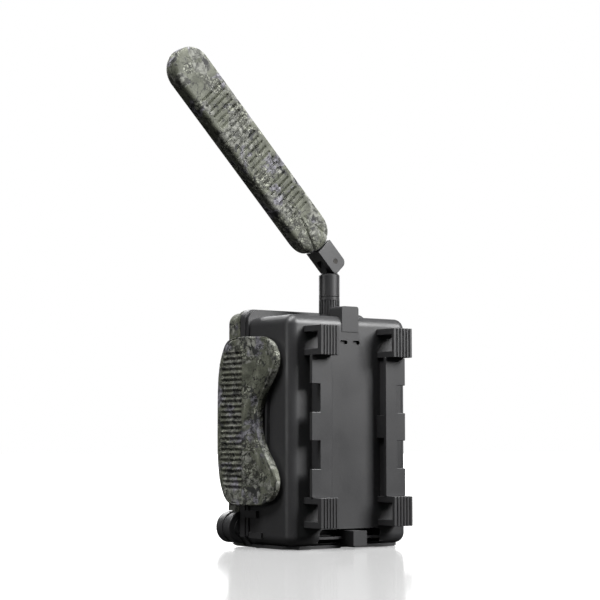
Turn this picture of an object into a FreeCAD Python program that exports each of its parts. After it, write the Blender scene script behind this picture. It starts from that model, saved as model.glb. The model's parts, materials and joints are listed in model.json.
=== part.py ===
"""Trail camera: rear housing with strap feet, hinged camo front, side latch and folding paddle antenna.

Millimetres.  +X is the latch side, -Y the lens side, +Z up; the origin is the mouth of the tripod socket.
"""
import FreeCAD, Part
import math
import os

V = FreeCAD.Vector
os.makedirs("parts", exist_ok=True)

# ---- rear housing -------------------------------------------------------------------------------
BODY_HW = 43.4            # half width of the housing
BODY_Z0, BODY_Z1 = 2.2, 135.2
BACK_Y = 28.0             # flat rear wall
WALL = 2.6
BODY_R = 6.0              # outer edge rounding
CAVITY_R = 4.0
SPLIT_Y = -19.0           # front face of the sealing flange
FLANGE_Y = -12.0          # rear face of the sealing flange
FLANGE_HW = 45.5
FLANGE_Z0, FLANGE_Z1 = 0.3, 140.0
FLANGE_STEP = 0.9         # inset of the second, rear lip
FLANGE_LIP_Y = -14.2
FLANGE_CHAMFER = 6.0
SIDE_IN = BODY_HW - WALL
CAV_Z0, CAV_Z1 = BODY_Z0 + WALL, BODY_Z1 - WALL
CAV_Y = BACK_Y - WALL
# ---- strap feet and rails on the rear wall ------------------------------------------------------
FOOT_X0, FOOT_X1 = 20.3, 33.6
FOOT_Z = ((12.8, 30.1), (111.2, 128.4))
ARM_T = 3.7
PAD_Y0 = 12.9             # pad back face above the wall
PAD_OUT, PAD_IN = 16.4, 15.6
PAD_RIBS, RIB_GROOVE, RIB_DEPTH = 6, 0.9, 0.7
RAIL_X0, RAIL_X1 = 19.8, 34.3
RAIL_WEB_X0, RAIL_WEB_X1 = 22.2, 28.0
RAIL_TOP, RAIL_LIP = 8.8, 2.2
RAIL_Z0, RAIL_Z1 = 30.1, 111.2
RAIL_NOTCH = 6.0
# ---- small features of the housing --------------------------------------------------------------
TAB_HW, TAB_Y0, TAB_Z0, TAB_Z1 = 6.1, 16.5, 126.0, 141.0
RECESS_HW, RECESS_Z1, RECESS_D = 22.5, 11.6, 9.0
FIN_Z0, FIN_Z1, FIN_D = 5.8, 7.2, 8.2
CABLE_SLOT_X, CABLE_SLOT_HW, CABLE_SLOT_Z0, CABLE_SLOT_Z1 = 4.6, 2.6, 118.6, 121.0
CABLE_SLOT_D, CABLE_SLOT_R = 1.7, 1.1
POST_HW, POST_Z0, POST_Z1, POST_OUT = 4.9, 1.8, 10.6, 9.2
KEEPER_Z0, KEEPER_Z1, KEEPER_Y0, KEEPER_Y1, KEEPER_OUT = 56.6, 93.0, 6.4, 8.0, 2.2
GROOVE_OUT, GROOVE_IN, GROOVE_D = (44.2, 1.6, 137.2, 8.0), (42.0, 3.8, 135.0, 5.8), 1.6
GASKET_PROUD, GASKET_SLACK = 0.35, 0.1
# ---- base and tripod socket ---------------------------------------------------------------------
BASE_HW, BASE_Y0, BASE_Y1, BASE_Z0 = 42.0, -11.6, 25.4, 0.4
BUSH_R, BUSH_BORE_R, BUSH_H, BUSH_BORE_H = 5.0, 3.175, 10.0, 9.0
TRIPOD_BOSS_R = 8.5
BASE_SCREWS = [(sx * 34.0, y) for sx in (-1, 1) for y in (-5.0, 12.0)]
# ---- door ---------------------------------------------------------------------------------------
DOOR_Y0, DOOR_Y1 = -33.0, -19.7
DOOR_HW, DOOR_Z0, DOOR_Z1 = 45.5, 0.3, 138.5
DOOR_RIM_Y, DOOR_RIM_Z1 = -22.3, 140.1   # rear rim of the cover, as high as the flange
DOOR_R, DOOR_EDGE, DOOR_WALL = 7.0, 3.0, 2.6
PANEL_Y0, PANEL_Y1 = -22.2, -20.2
BOARD_Y0, BOARD_Y1 = -27.0, -25.4
LENS_Z, IR_Z0, IR_Z1, IR_HW, PIR_Z = 86.0, 106.0, 132.0, 32.0, 46.0
LENS_HOLE_R, PIR_HOLE_R = 12.2, 13.0
POD_X, POD_Z, POD_R, POD_NECK_R = 43.4, 11.7, 9.45, 8.3
POD_GROOVE_Y0, POD_GROOVE_Y1, POD_FRONT_Y = -27.2, -24.6, -34.2
POD_CAP_R, POD_DISC_R, POD_DISC_D = 9.2, 5.4, 1.2
# ---- hinge --------------------------------------------------------------------------------------
HINGE_X, HINGE_Y, KNUCKLE_R, HINGE_PIN_R, HINGE_BORE_R = -49.4, -19.35, 3.3, 1.5, 1.56
HINGE_ZC, KNUCKLE_HALF, KNUCKLE_OUT, KNUCKLE_GAP = (38.0, 104.0), 3.8, 10.0, 0.4
# ---- latch --------------------------------------------------------------------------------------
LATCH_X, LATCH_Y, LATCH_PIN_R, LATCH_BORE_R = 50.0, -28.6, 1.5, 1.56
LATCH_IN = 46.0
LATCH_Z0, LATCH_Z1 = 25.0, 123.0
LUG_Z, LUG_HALF, LUG_R, LUG_GAP = (44.0, 104.0), 4.0, 3.2, 0.4
# ---- antenna ------------------------------------------------------------------------------------
ANT_Y = 8.0
NUT_R, NUT_Z1, NUT_FLUTES = 6.2, 147.7, 24
BARREL_Z0, BARREL_Z1 = 148.0, 161.6
PIVOT_Z = 168.7
TONGUE_HW, TONGUE_T = 4.4, 2.5
ELBOW_HW, ELBOW_END, ELBOW_R = 5.8, 6.0, 3.6
CHEEK_Y0, CHEEK_Y1 = 2.8, 6.2
ANT_PIN_R, ANT_BORE_R = 1.5, 1.56
LEAN = 44.0               # lean of the arm from upright, towards +X
ELBOW_TOP, SLOT_TOP = 12.0, 5.4
PADDLE_HW, PADDLE_T, PADDLE_TIP, PADDLE_ROOT = 13.0, 5.5, 157.0, 12.2
PADDLE_WALL = 1.8
# ---- batteries ----------------------------------------------------------------------------------
TRAY_HW, TRAY_Y0, TRAY_Y1, TRAY_Z0, TRAY_Z1, TRAY_WALL = 31.0, -6.5, 24.9, 15.0, 79.0, 1.5
CELL_R, CELL_L, CELL_NUB_R, CELL_NUB_L = 7.15, 49.0, 2.7, 1.2
CELL_ROWS = [24.1 + 15.2 * i for i in range(4)]
CELL_LAYERS = (1.0, 16.1)
CELL_SHIFT = 3.0          # towards the plate, away from the spring
LEAF_T, LEAF_HW, PLATE_T = 0.5, 3.5, 0.7
# ---- electronics in the housing -----------------------------------------------------------------
MODEM_HW, MODEM_Y0, MODEM_Y1, MODEM_Z0, MODEM_Z1 = 33.5, 16.4, 18.0, 86.0, 124.0
STANDOFFS = [(sx * 30.0, z) for sx in (-1, 1) for z in (90.0, 120.0)]
COVER_Y0, COVER_Y1, COVER_Z0, COVER_Z1 = -9.0, -7.0, 81.0, 131.8
COVER_POSTS = [(sx * 37.0, z) for sx in (-1, 1) for z in (85.0, 127.5)]
JACK_Y, JACK_Z, JACK_R = 14.0, 24.0, 4.0
COAX_R = 0.7
CLEAR = 0.35              # gap between pieces that move apart
# ---- controls behind the door -------------------------------------------------------------------
BUTTON_C = (22.0, 70.0)
BUTTON_STEP, BUTTON_R, BUTTON_GAP, BUTTON_LIP = 9.6, 3.4, 0.35, 1.0
BUTTONS = {"button_up": (0, 1), "button_down": (0, -1), "button_left": (-1, 0), "button_right": (1, 0),
           "button_ok": (0, 0)}
SWITCH_C, SWITCH_TRAVEL = (-22.0, 72.0), 6.0
BAY = (-34.0, 34.0, 22.0, 40.0)
SCREEN = (-21.0, 21.0, 90.0, 122.0)
SD_MOUTH_Z, SIM_MOUTH_Z = 34.0, 34.0
SD_X, SD_W, SD_L, SD_T = -18.0, 24.0, 32.0, 2.1
SIM_X, SIM_W, SIM_L, SIM_T = 22.0, 12.0, 15.0, 0.8
PANEL_SCREWS = [(sx * 37.4, z) for sx in (-1, 1) for z in (30.0, 76.0, 129.5)]
# ---- fasteners ----------------------------------------------------------------------------------
SCREW_R, SCREW_HOLE_R, SCREW_HEAD_R, SCREW_HEAD_H = 1.2, 1.25, 2.3, 1.3


def box(x0, x1, y0, y1, z0, z1):
    """Box between two corners."""
    return Part.makeBox(x1 - x0, y1 - y0, z1 - z0, V(x0, y0, z0))


def rod_x(r, x0, x1, y, z):
    """Cylinder along X."""
    return Part.makeCylinder(r, x1 - x0, V(x0, y, z), V(1, 0, 0))


def rod_y(r, y0, y1, x, z):
    """Cylinder along Y."""
    return Part.makeCylinder(r, y1 - y0, V(x, y0, z), V(0, 1, 0))


def rod_z(r, z0, z1, x, y):
    """Cylinder along Z."""
    return Part.makeCylinder(r, z1 - z0, V(x, y, z0), V(0, 0, 1))


def along(edge, axis):
    """True when a straight box edge runs along one axis."""
    b = edge.BoundBox
    size = {"X": b.XLength, "Y": b.YLength, "Z": b.ZLength}
    return size.pop(axis) > 1e-3 and max(size.values()) < 1e-6


def round_y(shape, r, test=lambda b: True):
    """Rounds the edges that run along Y and pass the test on their bounding box."""
    return shape.makeFillet(r, [e for e in shape.Edges if along(e, "Y") and test(e.BoundBox)])


def slab(hw, z0, z1, y0, y1, r):
    """Upright plate, centred on X, with rounded corners."""
    return round_y(box(-hw, hw, y0, y1, z0, z1), r)


def mirror_x(shape):
    """Copy on the other side of the YZ plane."""
    return shape.mirror(V(0, 0, 0), V(1, 0, 0))


def both_sides(shape):
    """The shape and its mirror image."""
    return [shape, mirror_x(shape)]


def fuse(first, rest):
    """One clean solid from touching solids."""
    return first.multiFuse(rest).removeSplitter()


def cut(shape, tools):
    """The shape less every tool."""
    return shape.cut(Part.makeCompound(tools)) if tools else shape


def save(name, shapes):
    """Writes one STEP file; a list becomes a group of solids."""
    shape = Part.makeCompound(shapes) if isinstance(shapes, list) else shapes
    shape.exportStep("parts/%s.step" % name)


# ---- rear housing -------------------------------------------------------------------------------
def housing_shell():
    """Deep tub with a stepped flange round its open front."""
    tub = box(-BODY_HW, BODY_HW, SPLIT_Y, BACK_Y, BODY_Z0, BODY_Z1)
    rear = [e for e in tub.Edges if along(e, "Y") or e.BoundBox.YMin > BACK_Y - 0.01]
    tub = tub.makeFillet(BODY_R, rear)
    lips = []
    for inset, y1 in ((0.0, FLANGE_LIP_Y), (FLANGE_STEP, FLANGE_Y)):
        lip = box(-FLANGE_HW + inset, FLANGE_HW - inset, SPLIT_Y, y1, FLANGE_Z0 + inset, FLANGE_Z1 - inset)
        low = [e for e in lip.Edges if along(e, "Y") and e.BoundBox.ZMax < BODY_Z1 / 2]
        lip = lip.makeChamfer(FLANGE_CHAMFER, low)
        lips.append(round_y(lip, BODY_R, lambda b: b.ZMin > BODY_Z1 / 2 and abs(b.XMin) > FLANGE_HW - 2))
    shell = fuse(tub, lips)
    cavity = box(-SIDE_IN, SIDE_IN, SPLIT_Y - 1, CAV_Y, CAV_Z0, CAV_Z1)
    inner = [e for e in cavity.Edges if along(e, "Y") or e.BoundBox.YMin > CAV_Y - 0.01]
    return shell.cut(cavity.makeFillet(CAVITY_R, inner))


def strap_foot(z0, z1):
    """Loop for a strap on the +X side: two arms and a ribbed pad that leans in towards the trunk."""
    arms = [box(FOOT_X0, FOOT_X1, BACK_Y, BACK_Y + PAD_Y0 + 1, a, a + ARM_T) for a in (z0, z1 - ARM_T)]
    pts = [V(FOOT_X0, BACK_Y + PAD_IN - 2.0, z0), V(FOOT_X1, BACK_Y + PAD_Y0, z0),
           V(FOOT_X1, BACK_Y + PAD_OUT, z0), V(FOOT_X0, BACK_Y + PAD_IN, z0)]
    pad = Part.Face(Part.makePolygon(pts + [pts[0]])).extrude(V(0, 0, z1 - z0))
    foot = fuse(pad, arms)
    pitch = (FOOT_X1 - FOOT_X0) / PAD_RIBS
    grooves = []
    for i in range(1, PAD_RIBS):
        x = FOOT_X0 + pitch * i
        face = BACK_Y + PAD_IN + (PAD_OUT - PAD_IN) * i / PAD_RIBS
        grooves.append(box(x - RIB_GROOVE / 2, x + RIB_GROOVE / 2, face - RIB_DEPTH, face + 2, z0 - 1, z1 + 1))
    return cut(foot, grooves)


def strap_feet():
    """The four loops."""
    return [foot for z0, z1 in FOOT_Z for foot in both_sides(strap_foot(z0, z1))]


def rail():
    """Trunk rail on the +X side: overhanging lip on a web, notched on its outer edge in two of five bays."""
    top = BACK_Y + RAIL_TOP
    web = box(RAIL_WEB_X0, RAIL_WEB_X1, BACK_Y, top - RAIL_LIP + 0.1, RAIL_Z0, RAIL_Z1)
    lip = box(RAIL_X0, RAIL_X1, top - RAIL_LIP, top, RAIL_Z0, RAIL_Z1)
    bay = (RAIL_Z1 - RAIL_Z0) / 5
    notches = [box(RAIL_X1 - RAIL_NOTCH, RAIL_X1 + 1, top - RAIL_LIP - 1, top + 1,
                   RAIL_Z0 + bay * i, RAIL_Z0 + bay * (i + 1)) for i in (1, 3)]
    middle = box(RAIL_X0, RAIL_WEB_X1, BACK_Y, top, RAIL_Z0 + bay * 2 + 1.5, RAIL_Z0 + bay * 3 - 1.5)
    return fuse(cut(lip, notches), [web, middle])


def trunk_rails():
    """The pair of rails."""
    return both_sides(rail())


def hinge_leaf(z0, z1, y0, y1):
    """Knuckle round the hinge axis with a leaf reaching to the wall beside it."""
    knuckle = rod_z(KNUCKLE_R, z0, z1, HINGE_X, HINGE_Y)
    leaf = box(HINGE_X, -FLANGE_HW + 0.6, y0, y1, z0, z1)
    return fuse(knuckle, [leaf]).cut(rod_z(HINGE_BORE_R, z0 - 1, z1 + 1, HINGE_X, HINGE_Y))


def housing_bosses():
    """Posts inside the tub for the tripod bushing, the modem board, its cover and the base screws."""
    posts = [rod_z(TRIPOD_BOSS_R, BODY_Z0 + 1, 12.6, 0, 0)]
    posts += [rod_y(2.8, MODEM_Y1, CAV_Y + 1, x, z) for x, z in STANDOFFS]
    posts += [rod_y(3.0, COVER_Y1, CAV_Y + 1, x, z) for x, z in COVER_POSTS]
    posts += [rod_z(3.0, BODY_Z0 + 1, 10.0, x, y) for x, y in BASE_SCREWS]
    return posts


def housing():
    """Rear housing with everything moulded on it."""
    shell = housing_shell()
    adds = housing_bosses()
    tab = box(-TAB_HW, TAB_HW, TAB_Y0, BACK_Y + 0.4, TAB_Z0, TAB_Z1)
    adds.append(round_y(tab, 1.5, lambda b: b.ZMin > TAB_Z0 + 1))
    adds.append(box(BODY_HW - 1, BODY_HW + KEEPER_OUT, KEEPER_Y0, KEEPER_Y1, KEEPER_Z0, KEEPER_Z1))
    adds += both_sides(box(BODY_HW - 1, FLANGE_HW, -14.0, -3.0, 17.7, 21.8))
    adds += both_sides(box(BODY_HW - 1, FLANGE_HW - 0.7, -11.0, 1.3, 2.9 + BODY_R / 2, 6.4 + BODY_R / 2))
    for zc in HINGE_ZC:
        inner = KNUCKLE_HALF + KNUCKLE_GAP
        for z0, z1 in ((zc - KNUCKLE_OUT, zc - inner), (zc + inner, zc + KNUCKLE_OUT)):
            adds.append(hinge_leaf(z0, z1, SPLIT_Y, SPLIT_Y + 5))
    # scooped cable-lock recess at the foot of the rear wall: inner skin first, then the opening, fin and post
    adds.append(box(-RECESS_HW - WALL, RECESS_HW + WALL, BACK_Y - RECESS_D - WALL, CAV_Y + 1,
                    CAV_Z0 - 1, RECESS_Z1 + WALL))
    body = fuse(shell, adds)
    scoop = box(-RECESS_HW, RECESS_HW, BACK_Y - RECESS_D, BACK_Y + 2, BODY_Z0 + 1.2, RECESS_Z1)
    scoop = round_y(scoop, 3.0, lambda b: b.ZMin > BODY_Z0 + 2)
    tools = [scoop]
    tools += [slab(CABLE_SLOT_HW, CABLE_SLOT_Z0, CABLE_SLOT_Z1, BACK_Y - CABLE_SLOT_D, BACK_Y + 1, CABLE_SLOT_R)
              .translated(V(x, 0, 0)) for x in (CABLE_SLOT_X, -CABLE_SLOT_X)]
    groove = slab(*GROOVE_OUT[:3], SPLIT_Y - 1, SPLIT_Y + GROOVE_D, GROOVE_OUT[3])
    tools.append(groove.cut(slab(*GROOVE_IN[:3], SPLIT_Y - 2, SPLIT_Y + 3, GROOVE_IN[3])))
    tools.append(rod_z(3.2, CAV_Z1 - 1, BODY_Z1 + 1, 0, ANT_Y))
    tools.append(rod_x(JACK_R + 0.05, -BODY_HW - 1, -SIDE_IN + 1, JACK_Y, JACK_Z))
    tools.append(rod_z(BUSH_R + 0.02, BODY_Z0 - 1, BUSH_H + 0.2, 0, 0))
    tools += [rod_y(SCREW_HOLE_R, MODEM_Y1 - 1, MODEM_Y1 + 6.0, x, z) for x, z in STANDOFFS]
    tools += [rod_y(SCREW_HOLE_R, COVER_Y1 - 1, COVER_Y1 + 6.0, x, z) for x, z in COVER_POSTS]
    tools += [rod_z(SCREW_HOLE_R, BODY_Z0 - 1, 9.0, x, y) for x, y in BASE_SCREWS]
    body = cut(body, tools)
    fin = box(-RECESS_HW - 1, RECESS_HW + 1, BACK_Y - RECESS_D - 0.5, BACK_Y - RECESS_D + FIN_D, FIN_Z0, FIN_Z1)
    post = box(-POST_HW, POST_HW, BACK_Y - RECESS_D - 0.5, BACK_Y + POST_OUT, POST_Z0 + 0.4, POST_Z1)
    return fuse(body, [fin, post])


def gasket():
    """Soft ring in the flange groove."""
    s = GASKET_SLACK
    y0, y1 = SPLIT_Y - GASKET_PROUD, SPLIT_Y + GROOVE_D
    outer = slab(GROOVE_OUT[0] - s, GROOVE_OUT[1] + s, GROOVE_OUT[2] - s, y0, y1, GROOVE_OUT[3] - s)
    inner = slab(GROOVE_IN[0] + s, GROOVE_IN[1] - s, GROOVE_IN[2] + s, y0 - 1, y1 + 1, GROOVE_IN[3] + s)
    return outer.cut(inner)


def base_plate():
    """Plate under the housing with the tripod hole and cut rear corners."""
    plate = box(-BASE_HW, BASE_HW, BASE_Y0, BASE_Y1, BASE_Z0, BODY_Z0)
    rear = [e for e in plate.Edges if along(e, "Z") and e.BoundBox.YMin > 0]
    plate = plate.makeChamfer(7.0, rear)
    holes = [rod_z(BUSH_R + 0.02, -1, 5, 0, 0)]
    for x, y in BASE_SCREWS:
        holes += [rod_z(SCREW_HOLE_R, -1, 5, x, y), rod_z(SCREW_HEAD_R + 0.1, -1, BASE_Z0 + 0.9, x, y)]
    post = box(-POST_HW - 0.3, POST_HW + 0.3, BACK_Y - RECESS_D - 1, BACK_Y + 1, -1, 5)
    return cut(plate, holes + [post])


def foot_pads():
    """Four thin rubber pads under the base plate."""
    pad = box(24.0, 33.0, 17.0, 21.5, 0.0, BASE_Z0)
    front = box(28.0, 40.0, -10.6, -8.2, 0.0, BASE_Z0)
    return both_sides(pad) + both_sides(front)


def tripod_bushing():
    """Brass insert with the tripod thread's clear bore."""
    return rod_z(BUSH_R, 0.0, BUSH_H, 0, 0).cut(rod_z(BUSH_BORE_R, -1, BUSH_BORE_H, 0, 0))


def screw(length, at, direction):
    """Pan-head screw; at is the seat of the head, direction points down the shank."""
    head = Part.makeCylinder(SCREW_HEAD_R, SCREW_HEAD_H, at, direction * -1)
    shank = Part.makeCylinder(SCREW_R, length, at, direction)
    slot = Part.makeBox(SCREW_HEAD_R * 1.3, 0.5, 0.5, V(-SCREW_HEAD_R * 0.65, -0.25, SCREW_HEAD_H - 0.5))
    cross = [slot, slot.rotated(V(0, 0, 0), V(0, 0, 1), 90)]
    turn = FreeCAD.Rotation(V(0, 0, 1), direction * -1)
    placed = [c.transformGeometry(FreeCAD.Placement(at, turn).toMatrix()) for c in cross]
    return cut(head.fuse(shank), placed).removeSplitter()


def base_screws():
    """Screws that hold the base plate, heads sunk into it."""
    return [screw(6.0, V(x, y, BASE_Z0 + 0.9), V(0, 0, 1)) for x, y in BASE_SCREWS]


def hinge_pins():
    """One steel pin for each hinge station."""
    return [rod_z(HINGE_PIN_R, zc - KNUCKLE_OUT, zc + KNUCKLE_OUT, HINGE_X, HINGE_Y) for zc in HINGE_ZC]


# ---- batteries ----------------------------------------------------------------------------------
def battery_tray():
    """Open-fronted holder for eight cells in two layers."""
    tray = box(-TRAY_HW, TRAY_HW, TRAY_Y0, TRAY_Y1, TRAY_Z0, TRAY_Z1)
    w = TRAY_WALL
    hollow = box(-TRAY_HW + w, TRAY_HW - w, TRAY_Y0 - 1, TRAY_Y1 - w, TRAY_Z0 + w, TRAY_Z1 - w)
    tray = tray.cut(hollow)
    gap_y = sum(CELL_LAYERS) / 2
    shelf = []
    for z in [0.5 * (a + b) for a, b in zip(CELL_ROWS, CELL_ROWS[1:])]:
        for sx in (-1, 1):
            for y in (gap_y - 1.6, TRAY_Y1 - w - 3.0):
                shelf.append(box(sx * 15.0 - 4, sx * 15.0 + 4, y, y + 3.2, z - 0.35, z + 0.35))
    cross = [box(sx * 22 - 1, sx * 22 + 1, TRAY_Y0 + 0.5, TRAY_Y0 + 1.5, TRAY_Z0 + 0.5, TRAY_Z0 + 2.5)
             for sx in (-1, 1)]
    return fuse(tray, shelf + cross)


def cell_side(row, layer):
    """Neighbouring cells face opposite ways."""
    return 1 if (row + layer) % 2 else -1


def batteries():
    """Eight AA cells lying along X."""
    cells = []
    for j, y in enumerate(CELL_LAYERS):
        for i, z in enumerate(CELL_ROWS):
            can = rod_x(CELL_R, -CELL_L / 2, CELL_L / 2, y, z)
            nub = rod_x(CELL_NUB_R, CELL_L / 2 - 1, CELL_L / 2 + CELL_NUB_L, y, z)
            cell = can.fuse(nub).removeSplitter().translated(V(CELL_SHIFT, 0, 0))
            cells.append(cell if cell_side(i, j) > 0 else mirror_x(cell))
    return cells


def leaf_spring():
    """Folded spring strip between the -X wall of the tray and a cell's flat end, about the cell's axis."""
    x0 = -TRAY_HW + TRAY_WALL
    x1 = -CELL_L / 2 + CELL_SHIFT
    t = LEAF_T
    line = [(x0, -4.6), (x0 + t, -4.6), (x0 + t, 3.0), (x1 - t, 0.6), (x1 - t, -2.4), (x1, -2.4), (x1, 1.0),
            (x0, 4.0)]
    pts = [V(x, y, -LEAF_HW) for x, y in line]
    return Part.Face(Part.makePolygon(pts + [pts[0]])).extrude(V(0, 0, 2 * LEAF_HW))


def battery_contacts():
    """A leaf spring at each negative end and a flat plate at each positive end."""
    inside = TRAY_HW - TRAY_WALL
    plate = box(inside - PLATE_T, inside, -4.5, 4.5, -4.5, 4.5)
    parts = []
    for j, y in enumerate(CELL_LAYERS):
        for i, z in enumerate(CELL_ROWS):
            for piece in (leaf_spring(), plate):
                piece = piece if cell_side(i, j) > 0 else mirror_x(piece)
                parts.append(piece.translated(V(0, y, z)))
    return parts


def battery_cover():
    """Clip-on lid over the open front of the tray, with a finger notch."""
    lid = slab(TRAY_HW, TRAY_Z0, TRAY_Z1, TRAY_Y0 - 2.0, TRAY_Y0, 2.0)
    notch = box(-9, 9, TRAY_Y0 - 3, TRAY_Y0 + 1, TRAY_Z1 - 5, TRAY_Z1 + 1)
    ribs = [box(-TRAY_HW + 6, TRAY_HW - 6, TRAY_Y0 - 2.6, TRAY_Y0 - 1.9, z, z + 1.0) for z in (24, 28, 32)]
    return fuse(lid.cut(notch), ribs)


# ---- electronics in the housing -----------------------------------------------------------------
def modem_board():
    """Radio board on the four standoffs."""
    board = box(-MODEM_HW, MODEM_HW, MODEM_Y0, MODEM_Y1, MODEM_Z0, MODEM_Z1)
    return cut(board, [rod_y(SCREW_HOLE_R, MODEM_Y0 - 1, MODEM_Y1 + 1, x, z) for x, z in STANDOFFS])


def modem_shield():
    """Pressed can over the radio."""
    return round_y(box(-22, 8, MODEM_Y0 - 3.2, MODEM_Y0, 92, 118), 1.5)


def modem_cover():
    """Inner cover over the radio, screwed to four posts."""
    plate = round_y(box(-SIDE_IN + 0.4, SIDE_IN - 0.4, COVER_Y0, COVER_Y1, COVER_Z0, COVER_Z1), 3.6)
    holes = [rod_y(SCREW_HOLE_R, COVER_Y0 - 1, COVER_Y1 + 1, x, z) for x, z in COVER_POSTS]
    ribs = [box(-24, 24, COVER_Y0 - 0.6, COVER_Y0 + 0.1, z, z + 1.2) for z in (92, 98, 104, 110, 116)]
    return fuse(cut(plate, holes), ribs)


def modem_screws():
    """Screws of the radio board and of its cover."""
    out = [screw(6.0, V(x, MODEM_Y0, z), V(0, 1, 0)) for x, z in STANDOFFS]
    return out + [screw(6.5, V(x, COVER_Y0, z), V(0, 1, 0)) for x, z in COVER_POSTS]


def sma_connector():
    """Threaded bulkhead connector through the top wall, with its flange and solder spigot inside."""
    body = rod_z(3.15, 124.5, 146.0, 0, ANT_Y)
    flange = box(-5.5, 5.5, ANT_Y - 5.5, ANT_Y + 5.5, CAV_Z1 - 2.2, CAV_Z1)
    return fuse(body, [flange]).cut(rod_z(1.0, 140.0, 147.0, 0, ANT_Y))


def bent_path(points):
    """Wire of straight runs joined by tangent arcs."""
    edges, last = [], points[0]
    for before, corner, after in zip(points, points[1:], points[2:]):
        back, ahead = (before - corner), (after - corner)
        reach = 0.45 * min(back.Length, ahead.Length)
        start = corner + back.normalize() * reach
        end = corner + ahead.normalize() * reach
        half = math.acos(max(-1.0, min(1.0, back.dot(ahead)))) / 2
        radius = reach * math.tan(half)
        inward = (back + ahead).normalize()
        middle = corner + inward * (radius / math.sin(half) - radius)
        edges += [Part.makeLine(last, start), Part.Arc(start, middle, end).toShape()]
        last = end
    edges.append(Part.makeLine(last, points[-1]))
    return Part.Wire(edges)


def coax_pigtail():
    """Short coaxial lead from the connector down to its plug on the radio board."""
    plug_z, y = 100.5, MODEM_Y0 - 1.2
    pts = [V(0, ANT_Y, 124.5), V(0, ANT_Y, 119.5), V(7, ANT_Y + 0.5, 115.5), V(12.4, ANT_Y + 4.2, 110.5),
           V(13, y, 106.5), V(13, y, plug_z + 1.2)]
    ring = Part.Wire(Part.makeCircle(COAX_R, pts[0], V(0, 0, 1)))
    lead = bent_path(pts).makePipeShell([ring], True, True)
    plug = rod_y(1.8, MODEM_Y0 - 2.4, MODEM_Y0, 13, plug_z)
    return lead.fuse(plug).removeSplitter()


def antenna_nut():
    """Knurled coupling nut on the bulkhead connector."""
    nut = rod_z(NUT_R, BODY_Z1, NUT_Z1, 0, ANT_Y)
    grip = []
    for i in range(NUT_FLUTES):
        a = 2 * math.pi * i / NUT_FLUTES
        grip.append(rod_z(0.5, BODY_Z1 + 2.0, NUT_Z1 - 2.0, NUT_R * math.cos(a), ANT_Y + NUT_R * math.sin(a)))
    return cut(nut, [rod_z(3.17, BODY_Z1 - 1, NUT_Z1 + 1, 0, ANT_Y)] + grip)


def dc_jack():
    """External power socket in the -X wall."""
    x0 = -BODY_HW + 0.2
    body = rod_x(JACK_R, x0, x0 + 11.0, JACK_Y, JACK_Z)
    back = box(x0 + 3.0, x0 + 11.0, JACK_Y - 4.5, JACK_Y + 4.5, JACK_Z - 5.0, JACK_Z + 5.0)
    pin = rod_x(1.0, x0 + 1.0, x0 + 9.5, JACK_Y, JACK_Z)
    bored = fuse(body, [back]).cut(rod_x(2.75, x0 - 1, x0 + 9.0, JACK_Y, JACK_Z))
    return fuse(bored, [pin])


def dc_flap():
    """Rubber cover of the power socket, hinged above it, with a plug that stops short of the centre pin."""
    x1 = -BODY_HW - CLEAR
    lid = round_x(box(x1 - 1.6, x1, JACK_Y - 6.0, JACK_Y + 6.0, JACK_Z - 6.5, JACK_Z + 6.0), 3.0)
    roll = Part.makeCylinder(0.8, 12.0, V(x1 - 0.8, JACK_Y - 6.0, JACK_Z + 6.0), V(0, 1, 0))
    return fuse(lid, [roll])


def round_x(shape, r):
    """Rounds the edges that run along X."""
    return shape.makeFillet(r, [e for e in shape.Edges if along(e, "X")])


# ---- antenna ------------------------------------------------------------------------------------
def lean(shape):
    """Places a shape drawn upright round the pivot into the leaning rest position."""
    return shape.rotated(V(0, 0, 0), V(0, 1, 0), LEAN).translated(V(0, ANT_Y, PIVOT_Z))


def antenna_base():
    """Swivelling barrel with the tongue of the folding joint."""
    barrel = rod_z(NUT_R, BARREL_Z0, BARREL_Z1, 0, ANT_Y)
    top = [e for e in barrel.Edges if e.BoundBox.ZMin > BARREL_Z1 - 0.01]
    barrel = barrel.makeChamfer(1.0, top)
    y0, y1 = ANT_Y - TONGUE_T, ANT_Y + TONGUE_T
    tongue = box(-TONGUE_HW, TONGUE_HW, y0, y1, BARREL_Z1 - 1, PIVOT_Z)
    eye = rod_y(TONGUE_HW, y0, y1, 0, PIVOT_Z)
    return fuse(barrel, [tongue, eye]).cut(rod_y(ANT_BORE_R, y0 - 1, y1 + 1, 0, PIVOT_Z))


def antenna_pin():
    """Pin of the folding joint, fast in the cheeks."""
    return lean(rod_y(ANT_PIN_R, -CHEEK_Y1, CHEEK_Y1, 0, 0))


def antenna_elbow():
    """Square elbow, slotted for the tongue and round at its free end, with a spigot into the paddle."""
    block = box(-ELBOW_HW, ELBOW_HW, -CHEEK_Y1, CHEEK_Y1, -ELBOW_END, ELBOW_TOP + ELBOW_R)
    block = round_y(block, ELBOW_R).common(box(-10, 10, -10, 10, -10, ELBOW_TOP))
    slot = box(-10, 10, -CHEEK_Y0, CHEEK_Y0, -10, SLOT_TOP)
    spigot = rod_z(3.0, ELBOW_TOP - 0.5, 24.0, 0, 0)
    elbow = block.fuse(spigot).removeSplitter()
    return lean(cut(elbow, [slot, rod_y(ANT_PIN_R, -8, 8, 0, 0)]))


def round_z(shape, r):
    """Rounds the edges that run along Z."""
    return shape.makeFillet(r, [e for e in shape.Edges if along(e, "Z")])


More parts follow.
